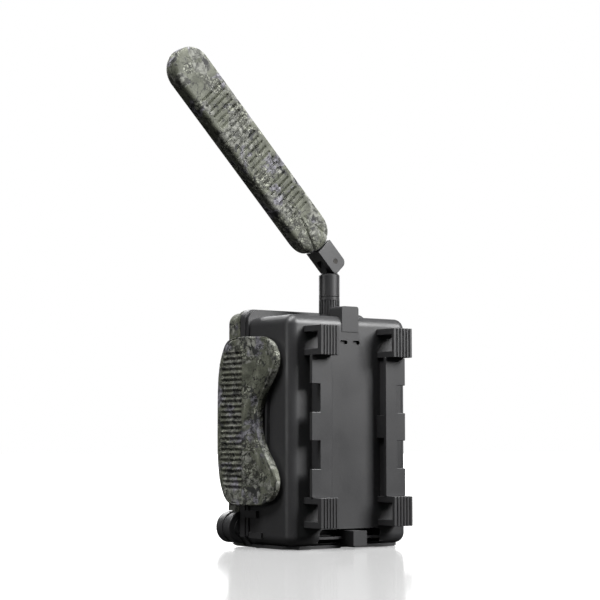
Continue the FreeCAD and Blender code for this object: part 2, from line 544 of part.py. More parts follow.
def paddle_outline(inset):
    """Closed face in the XZ plane: round tip, straight sides, blunt rounded root."""
    hw, tip, root = PADDLE_HW - inset, PADDLE_TIP - inset, PADDLE_ROOT + inset
    zs, zc = 27.0, PADDLE_TIP - PADDLE_HW
    left, right = V(-hw, 0, zs), V(hw, 0, zs)
    crown = Part.Arc(V(-hw, 0, zc), V(0, 0, tip), V(hw, 0, zc)).toShape()
    curve = Part.BSplineCurve()
    curve.interpolate([right, V(hw * 0.93, 0, root + 7.2), V(hw * 0.7, 0, root + 2.6), V(0, 0, root),
                       V(-hw * 0.7, 0, root + 2.6), V(-hw * 0.93, 0, root + 7.2), left])
    edges = [Part.makeLine(left, V(-hw, 0, zc)), crown, Part.makeLine(V(hw, 0, zc), right), curve.toShape()]
    return Part.Face(Part.Wire(Part.__sortEdges__(edges)))


def paddle_half(front):
    """One hollow half of the paddle, split on its mid plane."""
    shell = paddle_outline(0).extrude(V(0, PADDLE_T, 0))
    rim = [e for e in shell.Edges if e.BoundBox.YMin > PADDLE_T - 0.01]
    shell = shell.makeFillet(3.0, rim)
    hollow = paddle_outline(PADDLE_WALL + 0.8).extrude(V(0, PADDLE_T - PADDLE_WALL + 1, 0))
    hollow = hollow.translated(V(0, -1, 0))
    half = shell.cut(hollow).cut(rod_z(3.03, PADDLE_ROOT - 4, 27.0, 0, 0))
    return lean(half.mirror(V(0, 0, 0), V(0, 1, 0)) if front else half)


def antenna_radiator():
    """Printed radiator strip inside the paddle, its root slotted over the spigot's end."""
    return lean(box(-5.0, 5.0, -0.5, 0.5, 25.0, 140.0))


# ---- door ---------------------------------------------------------------------------------------
def door_shell():
    """Shallow front cover with its windows, pods, hinge knuckles and latch lugs."""
    blank = box(-DOOR_HW, DOOR_HW, DOOR_Y0, DOOR_Y1, DOOR_Z0, DOOR_Z1)
    blank = round_y(blank, DOOR_R)
    front = [e for e in blank.Edges if e.BoundBox.YMax < DOOR_Y0 + 0.01]
    blank = blank.makeFillet(DOOR_EDGE, front)
    blank = blank.fuse(slab(DOOR_HW, DOOR_Z0, DOOR_RIM_Z1, DOOR_RIM_Y, DOOR_Y1, DOOR_R))
    w = DOOR_WALL
    hollow = slab(DOOR_HW - w, DOOR_Z0 + w, DOOR_Z1 - w, DOOR_Y0 + w, DOOR_Y1 + 1, DOOR_R - w)
    shell = blank.cut(hollow)
    rooms = both_sides(rod_y(POD_R + 0.4, DOOR_Y0 - 1, POD_GROOVE_Y0, POD_X, POD_Z))
    shell = shell.cut(Part.makeCompound(rooms))
    adds = both_sides(rod_y(POD_R + 0.8, POD_GROOVE_Y0, POD_GROOVE_Y1 - 1.0, POD_X, POD_Z).common(blank))
    shroud = rod_y(15.0, DOOR_Y0 - 3.5, DOOR_Y0 + 1, 0, LENS_Z)
    rim = [e for e in shroud.Edges if e.BoundBox.YMax < DOOR_Y0 - 3.4]
    adds.append(shroud.makeFillet(1.5, rim))
    adds.append(rod_y(16.5, DOOR_Y0 - 2.0, DOOR_Y0 + 1, 0, PIR_Z))
    for x, z in PANEL_SCREWS:
        adds.append(rod_y(3.0, DOOR_Y0 + w - 0.2, PANEL_Y0, x, z))
    for zc in HINGE_ZC:
        adds.append(hinge_leaf(zc - KNUCKLE_HALF, zc + KNUCKLE_HALF, DOOR_Y1 - 4.8, DOOR_Y1))
    for z in LUG_Z:
        lug = rod_z(LUG_R, z - LUG_HALF, z + LUG_HALF, LATCH_X, LATCH_Y)
        web = box(DOOR_HW - 1, LATCH_X, LATCH_Y - 2.4, LATCH_Y + 2.4, z - LUG_HALF, z + LUG_HALF)
        adds.append(lug.fuse(web))
    body = fuse(shell, adds)
    tools = [rod_y(LENS_HOLE_R, DOOR_Y0 - 5, DOOR_Y0 + w + 1, 0, LENS_Z),
             rod_y(PIR_HOLE_R, DOOR_Y0 - 5, DOOR_Y0 + w + 1, 0, PIR_Z),
             round_y(box(-IR_HW, IR_HW, DOOR_Y0 - 1, DOOR_Y0 + w + 1, IR_Z0, IR_Z1), 4.0),
             rod_z(LATCH_PIN_R, LUG_Z[0] - 9, LUG_Z[1] + 9, LATCH_X, LATCH_Y)]
    tools += [rod_y(SCREW_HOLE_R, PANEL_Y0 - 6.0, PANEL_Y0 + 1, x, z) for x, z in PANEL_SCREWS]
    tools += both_sides(rod_y(POD_NECK_R, POD_GROOVE_Y0 - 1, POD_GROOVE_Y1 + 1, POD_X, POD_Z))
    tools += both_sides(rod_y(POD_R, POD_GROOVE_Y1, DOOR_Y1 + 1, POD_X, POD_Z))
    return cut(body, tools)


def door_panel():
    """Inner panel behind the electronics, open for the screen, the keys, the switch and the service bay."""
    w = DOOR_WALL + 0.3
    plate = slab(DOOR_HW - w, DOOR_Z0 + w, DOOR_Z1 - w, PANEL_Y0, PANEL_Y1, DOOR_R - w)
    y0, y1 = PANEL_Y0 - 1, PANEL_Y1 + 1
    tools = [box(SCREEN[0], SCREEN[1], y0, y1, SCREEN[2], SCREEN[3]),
             box(SCREEN[0] - 2, SCREEN[1] + 2, PANEL_Y1 - 0.9, y1, SCREEN[2] - 2, SCREEN[3] + 2),
             box(BAY[0], BAY[1], y0, y1, BAY[2], BAY[3]),
             box(SWITCH_C[0] - 6.4, SWITCH_C[0] + 6.4, y0, y1, SWITCH_C[1] - 2.1, SWITCH_C[1] + 2.1)]
    for dx, dz in BUTTONS.values():
        x, z = BUTTON_C[0] + dx * BUTTON_STEP, BUTTON_C[1] + dz * BUTTON_STEP
        tools.append(rod_y(BUTTON_R + BUTTON_GAP, y0, y1, x, z))
    tools += [rod_y(SCREW_HOLE_R, y0, y1, x, z) for x, z in PANEL_SCREWS]
    tools += both_sides(rod_y(POD_R + 0.1, y0, y1, POD_X, POD_Z))
    return cut(plate, tools)


def main_board():
    """Main circuit board, with cut lower corners for the pods."""
    board = box(-37.5, 37.5, BOARD_Y0, BOARD_Y1, 16.0, 134.0)
    tools = [rod_y(3.4, BOARD_Y0 - 1, BOARD_Y1 + 1, x, z) for x, z in PANEL_SCREWS]
    return cut(board, tools + both_sides(rod_y(POD_R + 1.0, BOARD_Y0 - 1, BOARD_Y1 + 1, POD_X, POD_Z)))


def image_sensor():
    """Square sensor package on the front of the main board."""
    return box(-6.0, 6.0, BOARD_Y0 - 1.2, BOARD_Y0, LENS_Z - 6.0, LENS_Z + 6.0)


def lens_holder():
    """Square mount that carries the lens barrel over the sensor."""
    y0 = BOARD_Y0 - 3.4
    block = box(-9.0, 9.0, y0, BOARD_Y0, LENS_Z - 9.0, LENS_Z + 9.0)
    block = block.cut(box(-6.2, 6.2, BOARD_Y0 - 1.4, BOARD_Y0 + 1, LENS_Z - 6.2, LENS_Z + 6.2))
    return block.cut(rod_y(5.0, y0 - 1, BOARD_Y0, 0, LENS_Z))


def lens_barrel():
    """Stepped barrel in front of the holder."""
    y0, y1 = DOOR_Y0 - 2.2, BOARD_Y0 - 3.4
    barrel = rod_y(8.0, y0, y1, 0, LENS_Z)
    return barrel.cut(rod_y(6.4, y0 - 1, y0 + 1.6, 0, LENS_Z)).cut(rod_y(4.0, y0 - 1, y1 + 1, 0, LENS_Z))


def lens_glass():
    """Front element, domed forwards."""
    y0 = DOOR_Y0 - 2.2
    disc = rod_y(6.35, y0 + 0.4, y0 + 1.6, 0, LENS_Z)
    ball = Part.makeSphere(26.0, V(0, y0 + 26.0 - 0.4, LENS_Z))
    return disc.fuse(ball.common(rod_y(6.35, y0 - 2, y0 + 1.0, 0, LENS_Z))).removeSplitter()


def lens_bezel():
    """Trim ring between the barrel and the shroud."""
    ring = rod_y(LENS_HOLE_R - 0.05, DOOR_Y0 - 2.6, DOOR_Y0 + 1.5, 0, LENS_Z)
    cone = Part.makeCone(11.6, 8.3, 1.8, V(0, DOOR_Y0 - 2.6, LENS_Z), V(0, 1, 0))
    return ring.cut(cone).cut(rod_y(8.1, DOOR_Y0 - 4, DOOR_Y0 + 3, 0, LENS_Z))


def ir_window():
    """Dark window over the infrared lamps."""
    pane = box(-IR_HW + 0.1, IR_HW - 0.1, DOOR_Y0 + 0.3, DOOR_Y0 + DOOR_WALL, IR_Z0 + 0.1, IR_Z1 - 0.1)
    front = round_y(pane, 3.9)
    back = box(-IR_HW - 2, IR_HW + 2, DOOR_Y0 + DOOR_WALL, DOOR_Y0 + DOOR_WALL + 0.8, IR_Z0 - 2, IR_Z1 + 2)
    return fuse(front, [back])


def led_board():
    """Lamp board behind the window, spaced off the main board by four feet."""
    board = box(-IR_HW, IR_HW, BOARD_Y0 - 1.6, BOARD_Y0 - 0.6, IR_Z0, IR_Z1)
    feet = [box(x - 1.5, x + 1.5, BOARD_Y0 - 0.7, BOARD_Y0, z - 1.5, z + 1.5)
            for x in (-28.0, 28.0) for z in (IR_Z0 + 3, IR_Z1 - 3)]
    return fuse(board, feet)


def ir_leds():
    """Infrared lamps in a staggered grid."""
    y = BOARD_Y0 - 1.6
    lamps = []
    for row in range(4):
        for col in range(10 - row % 2):
            x = (col - (9 - row % 2) / 2) * 6.2
            lamps.append(rod_y(1.3, y - 1.0, y, x, IR_Z0 + 3.6 + row * 6.2))
    return lamps


def pir_lens():
    """Shallow dome of the motion sensor."""
    y0 = DOOR_Y0 - 2.0
    radius = 26.0
    ball = Part.makeSphere(radius, V(0, y0 - 4.2 + radius, PIR_Z))
    inner = Part.makeSphere(radius - 1.2, V(0, y0 - 4.2 + radius, PIR_Z))
    keep = rod_y(PIR_HOLE_R - 0.05, y0 - 6, y0 + 1.0, 0, PIR_Z)
    skirt = rod_y(PIR_HOLE_R - 0.05, y0 - 0.6, DOOR_Y0 + 1.0, 0, PIR_Z)
    skirt = skirt.cut(rod_y(PIR_HOLE_R - 1.6, y0 - 3, DOOR_Y0 + 3, 0, PIR_Z))
    return fuse(ball.common(keep).cut(inner), [skirt])


def pir_sensor():
    """Metal-can motion detector on the main board."""
    can = rod_y(4.1, BOARD_Y0 - 4.2, BOARD_Y0, 0, PIR_Z)
    return can.fuse(rod_y(4.7, BOARD_Y0 - 0.6, BOARD_Y0, 0, PIR_Z)).removeSplitter()


def pod_caps():
    """Corner sensor pods: front cap, neck that the cover holds, and rear drum with a seat for the plug."""
    cap = rod_y(POD_CAP_R, POD_FRONT_Y, POD_GROOVE_Y0 - 0.4, POD_X, POD_Z)
    rim = [e for e in cap.Edges if e.BoundBox.YMax < POD_FRONT_Y + 0.01]
    cap = cap.makeFillet(1.1, rim)
    neck = rod_y(POD_NECK_R, POD_GROOVE_Y0 - 0.5, POD_GROOVE_Y1 + 0.1, POD_X, POD_Z)
    drum = rod_y(POD_R, POD_GROOVE_Y1, DOOR_Y1, POD_X, POD_Z)
    drum = drum.makeFillet(0.8, [e for e in drum.Edges if e.BoundBox.YMin > DOOR_Y1 - 0.01])
    seat = rod_y(POD_DISC_R, DOOR_Y1 - POD_DISC_D, DOOR_Y1 + 1, POD_X, POD_Z)
    return both_sides(fuse(cap, [neck, drum]).cut(seat))


def pod_discs():
    """Round plugs let into the backs of the corner pods."""
    return both_sides(rod_y(POD_DISC_R, DOOR_Y1 - POD_DISC_D, DOOR_Y1 + 0.25, POD_X, POD_Z))


def display_module():
    """Colour screen behind the panel's opening."""
    return box(SCREEN[0] - 2.5, SCREEN[1] + 2.5, PANEL_Y0 - 2.4, PANEL_Y0, SCREEN[2] - 4, SCREEN[3] + 2.5)


def display_window():
    """Clear pane let into the panel over the screen."""
    return box(SCREEN[0] - 1.9, SCREEN[1] + 1.9, PANEL_Y1 - 0.9, PANEL_Y1, SCREEN[2] - 1.9, SCREEN[3] + 1.9)


def tact_switches():
    """One switch on the board under each key."""
    out = []
    for dx, dz in BUTTONS.values():
        x, z = BUTTON_C[0] + dx * BUTTON_STEP, BUTTON_C[1] + dz * BUTTON_STEP
        out.append(box(x - 2.2, x + 2.2, BOARD_Y1, BOARD_Y1 + 1.5, z - 2.2, z + 2.2))
    return out


def control_button(dx, dz):
    """Round key with a retaining lip behind the panel."""
    x, z = BUTTON_C[0] + dx * BUTTON_STEP, BUTTON_C[1] + dz * BUTTON_STEP
    y_lip = PANEL_Y0 - CLEAR
    cap = rod_y(BUTTON_R, y_lip - 0.4, PANEL_Y1 + 1.4, x, z)
    top = [e for e in cap.Edges if e.BoundBox.YMin > PANEL_Y1 + 1.39]
    lip = rod_y(BUTTON_R + BUTTON_LIP, y_lip - 0.4, y_lip, x, z)
    return cap.makeFillet(0.5, top).fuse(lip).removeSplitter()


def power_switch():
    """Slide knob at the off end of its slot, with a wide foot behind the panel."""
    x, z = SWITCH_C[0] - SWITCH_TRAVEL / 2, SWITCH_C[1]
    knob = box(x - 3.0, x + 3.0, PANEL_Y0 - 0.8, PANEL_Y1 + 1.3, z - 1.7, z + 1.7)
    foot = box(x - 4.6, x + 4.6, PANEL_Y0 - 0.8, PANEL_Y0 - CLEAR, z - 3.6, z + 3.6)
    rib = box(x - 0.4, x + 0.4, PANEL_Y1 + 1.2, PANEL_Y1 + 1.6, z - 1.7, z + 1.7)
    return fuse(knob, [foot, rib])


def card_socket(x, w, length, t, z_mouth, wall):
    """Open-bottomed socket for a flat card pushed upwards, on the rear of the main board."""
    y0 = BOARD_Y1
    outer = box(x - w / 2 - wall, x + w / 2 + wall, y0, y0 + t + 1.1, z_mouth, z_mouth + length)
    inner = box(x - w / 2 - 0.3, x + w / 2 + 0.3, y0 + 0.2, y0 + 0.2 + t + 0.6,
                z_mouth - 1, z_mouth + length - 1.2)
    return outer.cut(inner)


def sd_socket():
    """Socket of the memory card."""
    return card_socket(SD_X, SD_W, SD_L, SD_T, SD_MOUTH_Z, 1.3)


def sim_socket():
    """Socket of the SIM card."""
    return card_socket(SIM_X, SIM_W, SIM_L, SIM_T, SIM_MOUTH_Z, 1.2)


def flat_card(x, w, length, t, z0, chamfer):
    """Card with one cut corner, floating in its socket's clearance."""
    y0 = BOARD_Y1 + 0.5
    card = box(x - w / 2, x + w / 2, y0, y0 + t, z0, z0 + length)
    corner = [e for e in card.Edges if along(e, "Y") and e.BoundBox.ZMin > z0 + 1 and e.BoundBox.XMin > x]
    return card.makeChamfer(chamfer, corner)


def sd_card():
    """Memory card, a little of it left out of the socket to grip."""
    return flat_card(SD_X, SD_W, SD_L, SD_T - 0.1, SD_MOUTH_Z - 4.0, 3.0)


def sim_card():
    """SIM card, a little of it left out of the socket to grip."""
    return flat_card(SIM_X, SIM_W, SIM_L, SIM_T, SIM_MOUTH_Z - 3.5, 2.0)


def usb_port():
    """Service socket facing down in the bay."""
    x, y, z = 2.5, BOARD_Y1 + 1.6, 34.0
    shell = box(x - 4.5, x + 4.5, y - 1.6, y + 1.6, z, z + 7.5)
    shell = shell.makeFillet(1.2, [e for e in shell.Edges if along(e, "Z")])
    hole = box(x - 4.0, x + 4.0, y - 1.15, y + 1.15, z - 1, z + 6.5)
    return fuse(shell.cut(hole), [box(x - 3.2, x + 3.2, y - 0.35, y + 0.35, z + 0.8, z + 7.0)])


def panel_screws():
    """Screws of the inner panel."""
    return [screw(7.0, V(x, PANEL_Y1, z), V(0, -1, 0)) for x, z in PANEL_SCREWS]


def latch_pin():
    """Steel pin through both latch lugs and the lever."""
    return rod_z(LATCH_PIN_R, LUG_Z[0] - LUG_HALF - 4, LUG_Z[1] + LUG_HALF + 4, LATCH_X, LATCH_Y)


# ---- latch --------------------------------------------------------------------------------------
def latch_section():
    """Cross-section in plan: rounded nose at the pivot, bulged grip, scoop, flared rear lip."""
    nose = LATCH_X - LATCH_IN
    inner = V(LATCH_IN, LATCH_Y, 0)
    front = V(LATCH_X, LATCH_Y - nose, 0)
    corner = V(LATCH_X - nose * math.sqrt(0.5), LATCH_Y - nose * math.sqrt(0.5), 0)
    skin = Part.BSplineCurve()
    skin.interpolate([front, V(52.6, -31.2, 0), V(54.0, -26.0, 0), V(54.3, -16.0, 0), V(53.3, -7.5, 0),
                      V(50.4, -3.0, 0), V(48.6, 3.5, 0), V(48.2, 10.0, 0), V(48.6, 16.5, 0), V(49.2, 21.5, 0)])
    tail = V(LATCH_IN, 22.0, 0)
    edges = [Part.Arc(inner, corner, front).toShape(), skin.toShape(),
             Part.makeLine(V(49.2, 21.5, 0), tail), Part.makeLine(tail, inner)]
    return Part.Face(Part.Wire(edges))


def latch_outline():
    """Side outline in the YZ plane: round corners and a deep finger scoop in the rear edge."""
    zc = (LATCH_Z0 + LATCH_Z1) / 2
    half = [(-9.0, 49.0), (-19.0, 47.2), (-27.0, 42.5), (-32.0, 34.5), (-33.6, 24.0), (-34.0, 12.0)]
    front = [V(0, y, zc + z) for y, z in half] + [V(0, -34.0, zc)]
    front += [V(0, y, zc - z) for y, z in reversed(half)]
    rear = [(2.0, 49.0), (9.5, 48.0), (14.5, 46.0), (19.4, 42.0), (21.6, 38.0), (22.0, 35.0), (20.6, 30.0),
            (16.3, 24.0), (11.6, 18.0), (7.5, 12.0), (5.4, 6.0)]
    back = [V(0, y, zc - z) for y, z in rear] + [V(0, 4.8, zc)]
    back += [V(0, y, zc + z) for y, z in reversed(rear)]
    a, b = Part.BSplineCurve(), Part.BSplineCurve()
    a.interpolate(front)
    b.interpolate(back)
    edges = [a.toShape(), Part.makeLine(front[-1], back[0]), b.toShape(), Part.makeLine(back[-1], front[0])]
    return Part.Face(Part.Wire(edges))


def latch():
    """Side lever that hinges on the door and wraps back over the housing's keeper."""
    prism = latch_section().extrude(V(0, 0, LATCH_Z1 - LATCH_Z0)).translated(V(0, 0, LATCH_Z0))
    lever = prism.common(latch_outline().extrude(V(30, 0, 0)).translated(V(LATCH_IN - 6, 0, 0)))
    tools = [rod_z(LATCH_BORE_R, LUG_Z[0] - LUG_HALF - 4.3, LUG_Z[1] + LUG_HALF + 4.3, LATCH_X, LATCH_Y)]
    for z in LUG_Z:
        z0, z1 = z - LUG_HALF - LUG_GAP, z + LUG_HALF + LUG_GAP
        pocket = rod_z(LUG_R + 0.5, z0, z1, LATCH_X, LATCH_Y)
        tools.append(pocket)
        tools.append(box(LATCH_IN - 3, LATCH_X, LATCH_Y - 6.0, LATCH_Y + LUG_R + 0.5, z0, z1))
        tools.append(box(LATCH_IN - 3, LATCH_X + 1.9, LATCH_Y - 6.0, LATCH_Y, z0, z1))
    return cut(lever, tools)


NODES = {
    "housing": housing, "strap_feet": strap_feet, "trunk_rails": trunk_rails, "gasket": gasket,
    "base_plate": base_plate, "foot_pads": foot_pads,
    "tripod_bushing": tripod_bushing, "base_screws": base_screws, "hinge_pins": hinge_pins,
    "battery_tray": battery_tray, "batteries": batteries, "battery_contacts": battery_contacts,
    "battery_cover": battery_cover, "modem_board": modem_board, "modem_shield": modem_shield,
    "modem_cover": modem_cover, "modem_screws": modem_screws, "sma_connector": sma_connector,
    "coax_pigtail": coax_pigtail, "antenna_nut": antenna_nut, "dc_jack": dc_jack, "dc_flap": dc_flap,
    "antenna_base": antenna_base, "antenna_pin": antenna_pin, "antenna_elbow": antenna_elbow,
    "paddle_rear": lambda: paddle_half(False), "paddle_front": lambda: paddle_half(True),
    "antenna_radiator": antenna_radiator,
    "door_shell": door_shell, "door_panel": door_panel, "main_board": main_board, "image_sensor": image_sensor,
    "lens_holder": lens_holder, "lens_barrel": lens_barrel, "lens_glass": lens_glass, "lens_bezel": lens_bezel,
    "ir_window": ir_window, "led_board": led_board, "ir_leds": ir_leds, "pir_lens": pir_lens,
    "pir_sensor": pir_sensor, "pod_caps": pod_caps, "pod_discs": pod_discs, "display_module": display_module,
    "display_window": display_window, "tact_switches": tact_switches, "power_switch": power_switch,
    "sd_socket": sd_socket, "sim_socket": sim_socket, "sd_card": sd_card, "sim_card": sim_card,
    "usb_port": usb_port, "panel_screws": panel_screws, "latch_pin": latch_pin, "latch": latch,
}

for node, make in NODES.items():
    save(node, make())
for node, (step_x, step_z) in BUTTONS.items():
    save(node, control_button(step_x, step_z))
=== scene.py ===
"""Trail camera with a folding paddle antenna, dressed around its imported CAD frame. Lengths in metres."""

import json
import math

import bmesh
import bpy
import numpy as np
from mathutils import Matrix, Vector


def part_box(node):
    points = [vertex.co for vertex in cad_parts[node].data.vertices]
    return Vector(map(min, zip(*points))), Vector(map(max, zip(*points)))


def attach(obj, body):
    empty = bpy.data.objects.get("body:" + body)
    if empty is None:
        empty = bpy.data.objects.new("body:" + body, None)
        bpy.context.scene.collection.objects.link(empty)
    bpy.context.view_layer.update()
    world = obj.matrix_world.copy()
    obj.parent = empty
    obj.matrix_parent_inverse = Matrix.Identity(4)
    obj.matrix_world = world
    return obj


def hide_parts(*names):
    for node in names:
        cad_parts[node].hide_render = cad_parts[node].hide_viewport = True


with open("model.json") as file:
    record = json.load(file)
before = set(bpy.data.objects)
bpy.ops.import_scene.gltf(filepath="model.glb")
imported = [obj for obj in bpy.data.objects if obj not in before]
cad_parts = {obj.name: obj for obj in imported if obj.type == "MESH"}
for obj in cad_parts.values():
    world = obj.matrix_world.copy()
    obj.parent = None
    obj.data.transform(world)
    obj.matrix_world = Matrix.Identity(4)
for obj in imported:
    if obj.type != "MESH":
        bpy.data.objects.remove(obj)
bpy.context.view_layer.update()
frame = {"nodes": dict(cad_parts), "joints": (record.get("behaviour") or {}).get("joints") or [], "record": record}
MM = 0.001


# ---- rear housing -------------------------------------------------------------------------------
# Deep tub of glass-filled ABS with its strap feet, trunk rails and base plate, injection moulded in a
# spark-eroded tool. Charcoal, satin, with soft edges where the tool was polished round.
HOUSING_EDGE = 0.45
FOOT_EDGE = 0.4


def linear(code):
    """Linear RGBA of an sRGB hex colour."""
    srgb = np.array([int(code[i:i + 2], 16) for i in (1, 3, 5)]) / 255
    rgb = np.where(srgb <= 0.04045, srgb / 12.92, ((srgb + 0.055) / 1.055) ** 2.4)
    return (*rgb.tolist(), 1.0)


def add(material, kind, inputs=None, **settings):
    """Adds one node. inputs gives a socket, by name or number, a value or the output that feeds it."""
    node = material.node_tree.nodes.new(kind)
    for name, value in settings.items():
        setattr(node, name, value)
    for socket, value in (inputs or {}).items():
        if isinstance(value, bpy.types.NodeSocket):
            material.node_tree.links.new(value, node.inputs[socket])
        else:
            node.inputs[socket].default_value = value
    return node


def shaded(name, colour, **sockets):
    """A new material and its shader; each other argument is a shader socket, with _ for a space."""
    material = bpy.data.materials.new(name)
    material.use_nodes = True
    shader = material.node_tree.nodes["Principled BSDF"]
    shader.inputs["Base Color"].default_value = linear(colour)
    for socket, value in sockets.items():
        shader.inputs[socket.replace("_", " ")].default_value = value
    return material, shader


def feed(shader, **sources):
    """Links outputs to the shader's sockets, which are named with _ for a space."""
    for socket, source in sources.items():
        shader.id_data.links.new(source, shader.inputs[socket.replace("_", " ")])


def grained(name, colour, shade, roughness, grain, depth, drift=24 * MM, spread=0.06, **sockets):
    """Moulded plastic or rubber: colour drifts slowly between two shades, with painted light paling it on the
    peaks of an even grain and painted shade in its hollows; the grain is grain across and depth deep, and the
    gloss wanders by spread either way."""
    material, shader = shaded(name, colour, **sockets)
    place = add(material, "ShaderNodeTexCoord").outputs["Object"]
    slow = add(material, "ShaderNodeTexNoise",
               {"Vector": place, "Scale": 1 / drift, "Detail": 4.0}).outputs[0]
    fine = add(material, "ShaderNodeTexNoise",
               {"Vector": place, "Scale": 1 / grain, "Detail": 2.0}).outputs[0]
    band = add(material, "ShaderNodeMapRange", {0: slow, 1: 0.36, 2: 0.64}).outputs[0]
    body = add(material, "ShaderNodeMix", {0: band, 6: linear(colour), 7: linear(shade)}, data_type="RGBA")
    # Painted light and shade: the colour is paler on the grain's peaks and darker in its hollows, following the
    # bump's height.
    painted_peak_light = add(material, "ShaderNodeMapRange", {0: fine, 1: 0.3, 2: 0.7, 3: 0.88, 4: 1.14}).outputs[0]
    tint = add(material, "ShaderNodeVectorMath", {0: body.outputs[2], 3: painted_peak_light}, operation="SCALE")
    gloss = add(material, "ShaderNodeMapRange",
                {0: slow, 1: 0.35, 2: 0.65, 3: roughness - spread, 4: roughness + spread})
    bump = add(material, "ShaderNodeBump", {"Height": fine, "Distance": depth, "Strength": 0.5})
    feed(shader, Base_Color=tint.outputs[0], Roughness=gloss.outputs[0], Normal=bump.outputs[0])
    return material


def dress(material, *names):
    """Gives CAD nodes, which keep their own shape, a finish."""
    for name in names:
        for holder in frame["nodes"][name].material_slots:
            holder.material = material


def on_body(piece, node):
    """Makes piece stand for a CAD node: same body, and the node is hidden."""
    groups = frame["record"]["behaviour"]["bodies"]
    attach(piece, next(body for body, members in groups.items() if node in members))
    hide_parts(node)


def rounded(node, material, edge, segments=2, joined=True):
    """Copy of a CAD node with its sharp edges rounded by edge, in mm; joined also merges flat triangles."""
    mesh = frame["nodes"][node].data.copy()
    mesh.name = f"{node}_moulded"
    shape = bmesh.new()
    shape.from_mesh(mesh)
    bmesh.ops.remove_doubles(shape, verts=shape.verts, dist=0.002 * MM)
    if joined:
        bmesh.ops.dissolve_limit(shape, angle_limit=math.radians(0.6), verts=shape.verts, edges=shape.edges)
    shape.to_mesh(mesh)
    shape.free()
    if "custom_normal" in mesh.attributes:
        mesh.attributes.remove(mesh.attributes["custom_normal"])
    mesh.materials.clear()
    mesh.materials.append(material)
    mesh.shade_smooth()
    piece = bpy.data.objects.new(f"{node}_moulded", mesh)
    bpy.context.scene.collection.objects.link(piece)
    bevel = piece.modifiers.new("edges", "BEVEL")
    bevel.width = edge * MM
    bevel.segments = segments
    bevel.limit_method = "ANGLE"
    bevel.angle_limit = math.radians(28)
    bevel.harden_normals = True
    on_body(piece, node)
    return piece


# Glass-filled ABS from a spark-eroded tool: the real grain is 0.2 mm, drawn at 0.6 mm so that it shows.
charcoal_abs = grained("charcoal_moulded_abs", "#2c2c2d", "#272728", 0.42, 0.6 * MM, 0.035 * MM, IOR=1.5)
rounded("housing", charcoal_abs, HOUSING_EDGE)
rounded("strap_feet", charcoal_abs, FOOT_EDGE)
rounded("trunk_rails", charcoal_abs, FOOT_EDGE, joined=False)
rounded("base_plate", charcoal_abs, 0.35)


# ---- seals, feet and the power-socket cover -----------------------------------------------------
# Moulded silicone cord in the flange, thermoplastic rubber pads under the base, and a rubber cover on
# the power socket.
# Rubber moulded in a blasted tool: matt and near black, with a slow dusty bloom.
seal_rubber = grained("matt_moulded_rubber", "#191919", "#232322", 0.72, 0.5 * MM, 0.03 * MM, drift=6 * MM)
dress(seal_rubber, "gasket", "foot_pads")
rounded("dc_flap", seal_rubber, 0.3)


# ---- fixings, pins and contacts -----------------------------------------------------------------
# Cold-headed screws, ground pins, and pressed contacts, sockets, shield and sensor can are of
# nickel-plated steel; the tripod bushing and the antenna connector are turned brass.
def metal(name, colour, shade, roughness, lay, stretch):
    """Plated or turned metal: fine marks lay apart, drawn out stretch times along Z, in tint and gloss."""
    material, shader = shaded(name, colour, Metallic=1.0)
    place = add(material, "ShaderNodeTexCoord").outputs["Object"]
    drawn = add(material, "ShaderNodeMapping", {"Vector": place, "Scale": (1.0, 1.0, 1 / stretch)})
    marks = add(material, "ShaderNodeTexNoise",
                {"Vector": drawn.outputs[0], "Scale": 1 / lay, "Detail": 3.0}).outputs[0]
    tint = add(material, "ShaderNodeMix", {0: marks, 6: linear(colour), 7: linear(shade)}, data_type="RGBA")
    gloss = add(material, "ShaderNodeMapRange",
                {0: marks, 1: 0.3, 2: 0.7, 3: roughness - 0.06, 4: roughness + 0.08})
    bump = add(material, "ShaderNodeBump", {"Height": marks, "Distance": 0.01 * MM, "Strength": 0.3})
    feed(shader, Base_Color=tint.outputs[2], Roughness=gloss.outputs[0], Normal=bump.outputs[0])
    return material


# Bright nickel over pressed or drawn steel, slightly yellow, with fine marks along its length.
nickel_steel = metal("nickel_plated_steel", "#b9b7b1", "#8f8d88", 0.3, 0.5 * MM, 6.0)
# Free-cutting brass, bare from the lathe: warm, with turning marks across its axis.
turned_brass = metal("turned_brass", "#c8a25c", "#a5823f", 0.28, 0.4 * MM, 0.2)
dress(nickel_steel, "base_screws", "hinge_pins", "battery_contacts", "modem_shield", "modem_screws",
      "pir_sensor", "sd_socket", "sim_socket", "usb_port", "panel_screws", "latch_pin")
dress(turned_brass, "tripod_bushing", "sma_connector")


# ---- batteries and the parts around them --------------------------------------------------------
# Eight AA cells in printed plastic sleeves, in a plain black tray with a snap-on cover. Each sleeve
# has a bronze shoulder at one end; no maker's print.
# Black ABS of the inner parts: the housing's grain, a shade deeper.
black_abs = grained("black_moulded_abs", "#1b1b1c", "#232324", 0.46, 0.6 * MM, 0.03 * MM)
# Shrunk printed plastic film, half gloss: dark grey with a bronze band and faint rubbed patches.
cell_sleeve, cell_shader = shaded("printed_cell_sleeve", "#2a2c2f", Roughness=0.32, Coat_Weight=0.4)
cell_place = add(cell_sleeve, "ShaderNodeTexCoord").outputs["Object"]
cell_axis = add(cell_sleeve, "ShaderNodeSeparateXYZ", {0: cell_place}).outputs["X"]
cell_band = add(cell_sleeve, "ShaderNodeMapRange", {0: cell_axis, 1: 13.8 * MM, 2: 14.2 * MM})
cell_rub = add(cell_sleeve, "ShaderNodeTexNoise",
               {"Vector": cell_place, "Scale": 1 / (3 * MM), "Detail": 4.0})
cell_tint = add(cell_sleeve, "ShaderNodeMix",
                {0: cell_band.outputs[0], 6: linear("#2a2c2f"), 7: linear("#a8743c")}, data_type="RGBA")
cell_worn = add(cell_sleeve, "ShaderNodeMapRange",
                {0: cell_rub.outputs[0], 1: 0.4, 2: 0.7, 3: 0.94, 4: 1.12})
